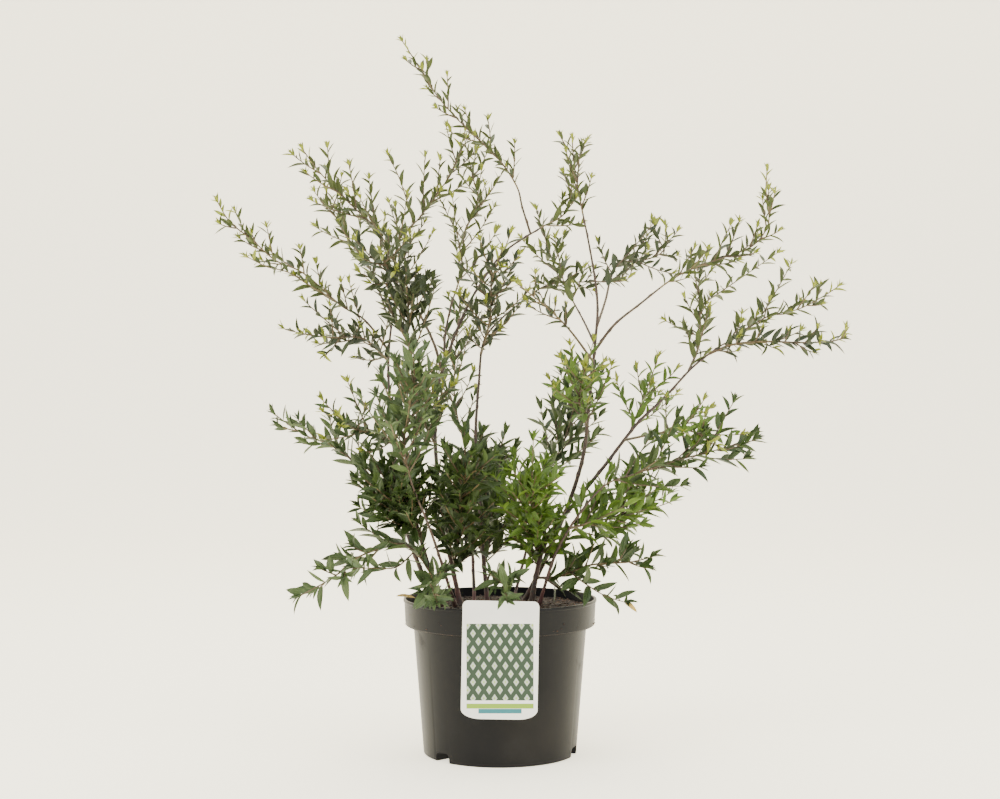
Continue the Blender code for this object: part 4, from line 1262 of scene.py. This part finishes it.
twigs = joined("twigs", [twig_tube(line, radii) for growth in growths for line, radii in growth.twigs])
twigs.data.shade_smooth()
twig_paint = Paint("twig_bark", Roughness=0.55)
where = twig_paint.place()
patch = twig_paint.step(twig_paint.noise(where, 22.0), 0.42, 0.62)
streak = twig_paint.step(twig_paint.noise(where, 600.0, 3.0), 0.4, 0.65)
tone = twig_paint.mix(patch, (0.085, 0.06, 0.03), (0.16, 0.12, 0.055))
twig_paint.colour(twig_paint.mix(streak * 0.6, tone, (0.045, 0.026, 0.018)))
twig_paint.bump(twig_paint.noise(where, 1100.0, 3.0), 0.0001)
twigs.data.materials.append(twig_paint.material)
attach(twigs, "root")
print("twigs:", len(twigs.data.polygons), "faces")

# %% [markdown]
# The leaf is narrow and pointed at both ends, folded a little along its midrib and bent back.
# Thousands of leaves are copies of three drawn shapes, bent to a different degree. Each shape
# has few faces, and keeps for its paint where on the blade a point lies.

# %% Leaf shapes
LEAF_STATIONS = (0.0, 0.12, 0.28, 0.46, 0.64, 0.82, 1.0)
LEAF_FOLD_AND_DROOP = {"leaf_flat": (0.10, 0.03), "leaf_bent": (0.16, 0.10), "leaf_hooked": (0.22, 0.2)}
LEAF_WIDEST_AT = 0.45
LEAF_FULLNESS = 0.8


def leaf_half_width(t):
    """Half the width at a share of the length, 0.5 at its widest."""
    warped = t ** (math.log(0.5) / math.log(LEAF_WIDEST_AT))
    return 0.5 * math.sin(math.pi * warped) ** LEAF_FULLNESS


def leaf_shape(name, fold, droop):
    """A leaf one unit long on Y and one wide on X, facing +Z."""
    vertices, blades = [], []
    for t in LEAF_STATIONS:
        half = leaf_half_width(t)
        for side in (0,) if half < 0.01 else (-1, 0, 1):
            vertices.append((side * half, t, abs(side) * half * fold - droop * t * t))
            blades += (side, t, 0)
    last = len(vertices) - 1
    faces = [(0, 2, 1), (0, 3, 2)]
    for a in range(1, last - 3, 3):
        faces += [(a, a + 1, a + 4, a + 3), (a + 1, a + 2, a + 5, a + 4)]
    faces += [(last - 3, last - 2, last), (last - 2, last - 1, last)]
    thing = plain_object(name, vertices, faces)
    thing.data.attributes.new("blade", "FLOAT_VECTOR", "POINT").data.foreach_set("vector", blades)
    return thing


leaf_kinds = bpy.data.collections.new("leaf_kinds")
for name, (fold, droop) in LEAF_FOLD_AND_DROOP.items():
    thing = leaf_shape(name, fold, droop)
    bpy.context.scene.collection.objects.unlink(thing)
    leaf_kinds.objects.link(thing)
    print(name, len(thing.data.polygons), "faces")

# %% [markdown]
# A Geometry Nodes recipe puts one of the shapes on every point. The growing rule has worked out
# each leaf's turn, size and kind, and the points carry them as attributes, so the recipe needs no
# chance of its own. The tone that each point carries goes along to its leaf.

# %% Leaves on points
def leaf_recipe():
    """One leaf shape on each point, turned and sized by the point's own attributes."""
    made = Recipe("leaves_on_points", Kinds="Collection", Size="Float", Material="Material")
    kinds = made.node("GeometryNodeCollectionInfo", i0=made.given("Kinds"), i1=True, i2=True)
    size = made.scaled(made.attribute("size"), made.given("Size"))
    spread = made.node("GeometryNodeInstanceOnPoints", Points=made.given(), Instance=made.out(kinds),
                       Rotation=made.attribute("turn"), Scale=size)
    made.put(True, spread.inputs["Pick Instance"])
    made.put(made.attribute("kind", "INT"), spread.inputs["Instance Index"])
    made.end_with(spread, smooth=True)
    return made


LEAVES = leaf_recipe()
KIND_STRIDE = 997


def put_leaves(name, leaves, material):
    """One mesh of leaves, each given as place, direction, face, length, width share and tone."""
    turns, sizes, kinds, tones = [], [], [], []
    for _, direction, face, length, wide, tone in leaves:
        turns += Matrix((direction.cross(face), direction, face)).transposed().to_euler()
        sizes += (length * wide, length, length)
        kinds.append(int(tone * KIND_STRIDE) % len(LEAF_FOLD_AND_DROOP))
        tones.append(tone)
    points = plain_object(name, [leaf[0] for leaf in leaves], [])
    own = points.data.attributes
    own.new("turn", "FLOAT_VECTOR", "POINT").data.foreach_set("vector", turns)
    own.new("size", "FLOAT_VECTOR", "POINT").data.foreach_set("vector", sizes)
    own.new("kind", "INT", "POINT").data.foreach_set("value", kinds)
    own.new("tone", "FLOAT", "POINT").data.foreach_set("value", tones)
    LEAVES.run(points, Kinds=leaf_kinds, Size=1.0, Material=material)
    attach(points, "root")
    print(name, len(leaves), "leaves,", len(points.data.polygons), "faces")
    return points


# %% [markdown]
# Leaves of one shrub differ by age and by the light they grew in. Each spray is dealt one of
# five greens, and each leaf has a tone of its own between a dark and a light one. The midrib is
# paler, faint side veins run from it, and a soft gloss lies over all. The veins are bands of a
# sine wave on the blade's own coordinates, so they follow every leaf however it is turned.

# %% Leaf paint
def leaf_paint(name, dark, light):
    paint = Paint(name, Specular_IOR_Level=0.4)
    side, along, _ = paint.parts(paint.attribute("blade"))
    tone = paint.attribute("tone", "Fac")
    middle = paint.math("ABSOLUTE", side)
    rib = paint.step(middle, 0.13, 0.03)
    wave = paint.math("SINE", (along * 9.0 - middle * 1.4) * math.tau)
    vein = paint.step(wave, 0.82, 0.98) * paint.step(middle, 0.95, 0.6)
    mottle = paint.step(paint.noise(paint.place(), 140.0), 0.35, 0.7)
    base = paint.mix(tone * 0.75 + mottle * 0.25, dark, light)
    pale = tuple(min(1, c * 1.4 + 0.01) for c in light)
    paint.colour(paint.mix(rib * 0.5 + vein * 0.16, base, pale))
    paint.rough(0.42 + mottle * 0.12)
    paint.bump(vein + rib * 2.0, 0.00012)
    return paint.material


print("leaf paint ready")

# %% Leaves of the shrub
GREENS = {
    "olive": ((0.034, 0.050, 0.010), (0.085, 0.112, 0.022)),
    "dark": ((0.018, 0.029, 0.008), (0.048, 0.068, 0.017)),
    "deep": ((0.018, 0.038, 0.006), (0.050, 0.085, 0.014)),
    "grey": ((0.034, 0.060, 0.018), (0.085, 0.130, 0.040)),
    "bright": ((0.045, 0.090, 0.009), (0.11, 0.19, 0.02)),
}
YOUNG = ((0.16, 0.20, 0.02), (0.34, 0.38, 0.045))
# Every shoot that isn't named here is olive.
DEALT = {
    "grey": ("foot_left", "left_low", "rim_left", "front", "rim_front"),
    "bright": ("heart_right", "heart_far_right", "far_right_side", "right_middle", "right_droop"),
    "deep": ("heart_front", "heart_left", "heart_back", "back_left", "back_right", "middle_leafy",
             "foot_right", "low_right", "left_middle"),
    "dark": ("crown_left", "crown_centre", "left_inner", "right_inner", "centre", "left_side",
             "far_right_lower", "right_fork"),
}


def tone_of(name):
    return next((tone for tone, names in DEALT.items() if name in names), "olive")


young_leaves = []
for tone, (dark, light) in GREENS.items():
    own = [growth for growth in growths if tone_of(growth.shoot["name"]) == tone]
    grown = [leaf for growth in own for leaf in growth.grown]
    young_leaves += [leaf for growth in own for leaf in growth.young]
    thing = put_leaves("leaves_" + tone, grown, leaf_paint("leaves_" + tone, dark, light))
    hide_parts(*["mass_" + growth.shoot["name"] for growth in own])
put_leaves("leaves_young", young_leaves, leaf_paint("leaves_young", *YOUNG))

# %% [markdown]
# Two leaves have withered, one by the pot's lip on the left and one low on the right. They are
# placed one by one, because a viewer notices single leaves, and have a brown of their own.

# %% Withered leaves
WITHERED_WIDTH = 0.34
WITHERED_TONE = 0.9
WITHERED_BROWN = ((0.30, 0.15, 0.05), (0.60, 0.42, 0.10))
WITHERED = [
    ((-101, -24, 155), (1, 0.15, -0.02), 20 * MM, (-0.3, -0.4)),
    ((116, -100, 158.5), (0.8, -0.1, -0.6), 14 * MM, (0.06, -1)),
]
withered = []
for place, direction, length, tilt in WITHERED:
    direction = Vector(direction).normalized()
    face = square_to(direction, Vector((*tilt, 1)))
    withered.append((Vector(place) * MM, direction, face, length, WITHERED_WIDTH, WITHERED_TONE))
put_leaves("leaves_withered", withered, leaf_paint("leaves_withered", *WITHERED_BROWN))
for thing in list(leaf_kinds.objects):
    bpy.data.objects.remove(thing)
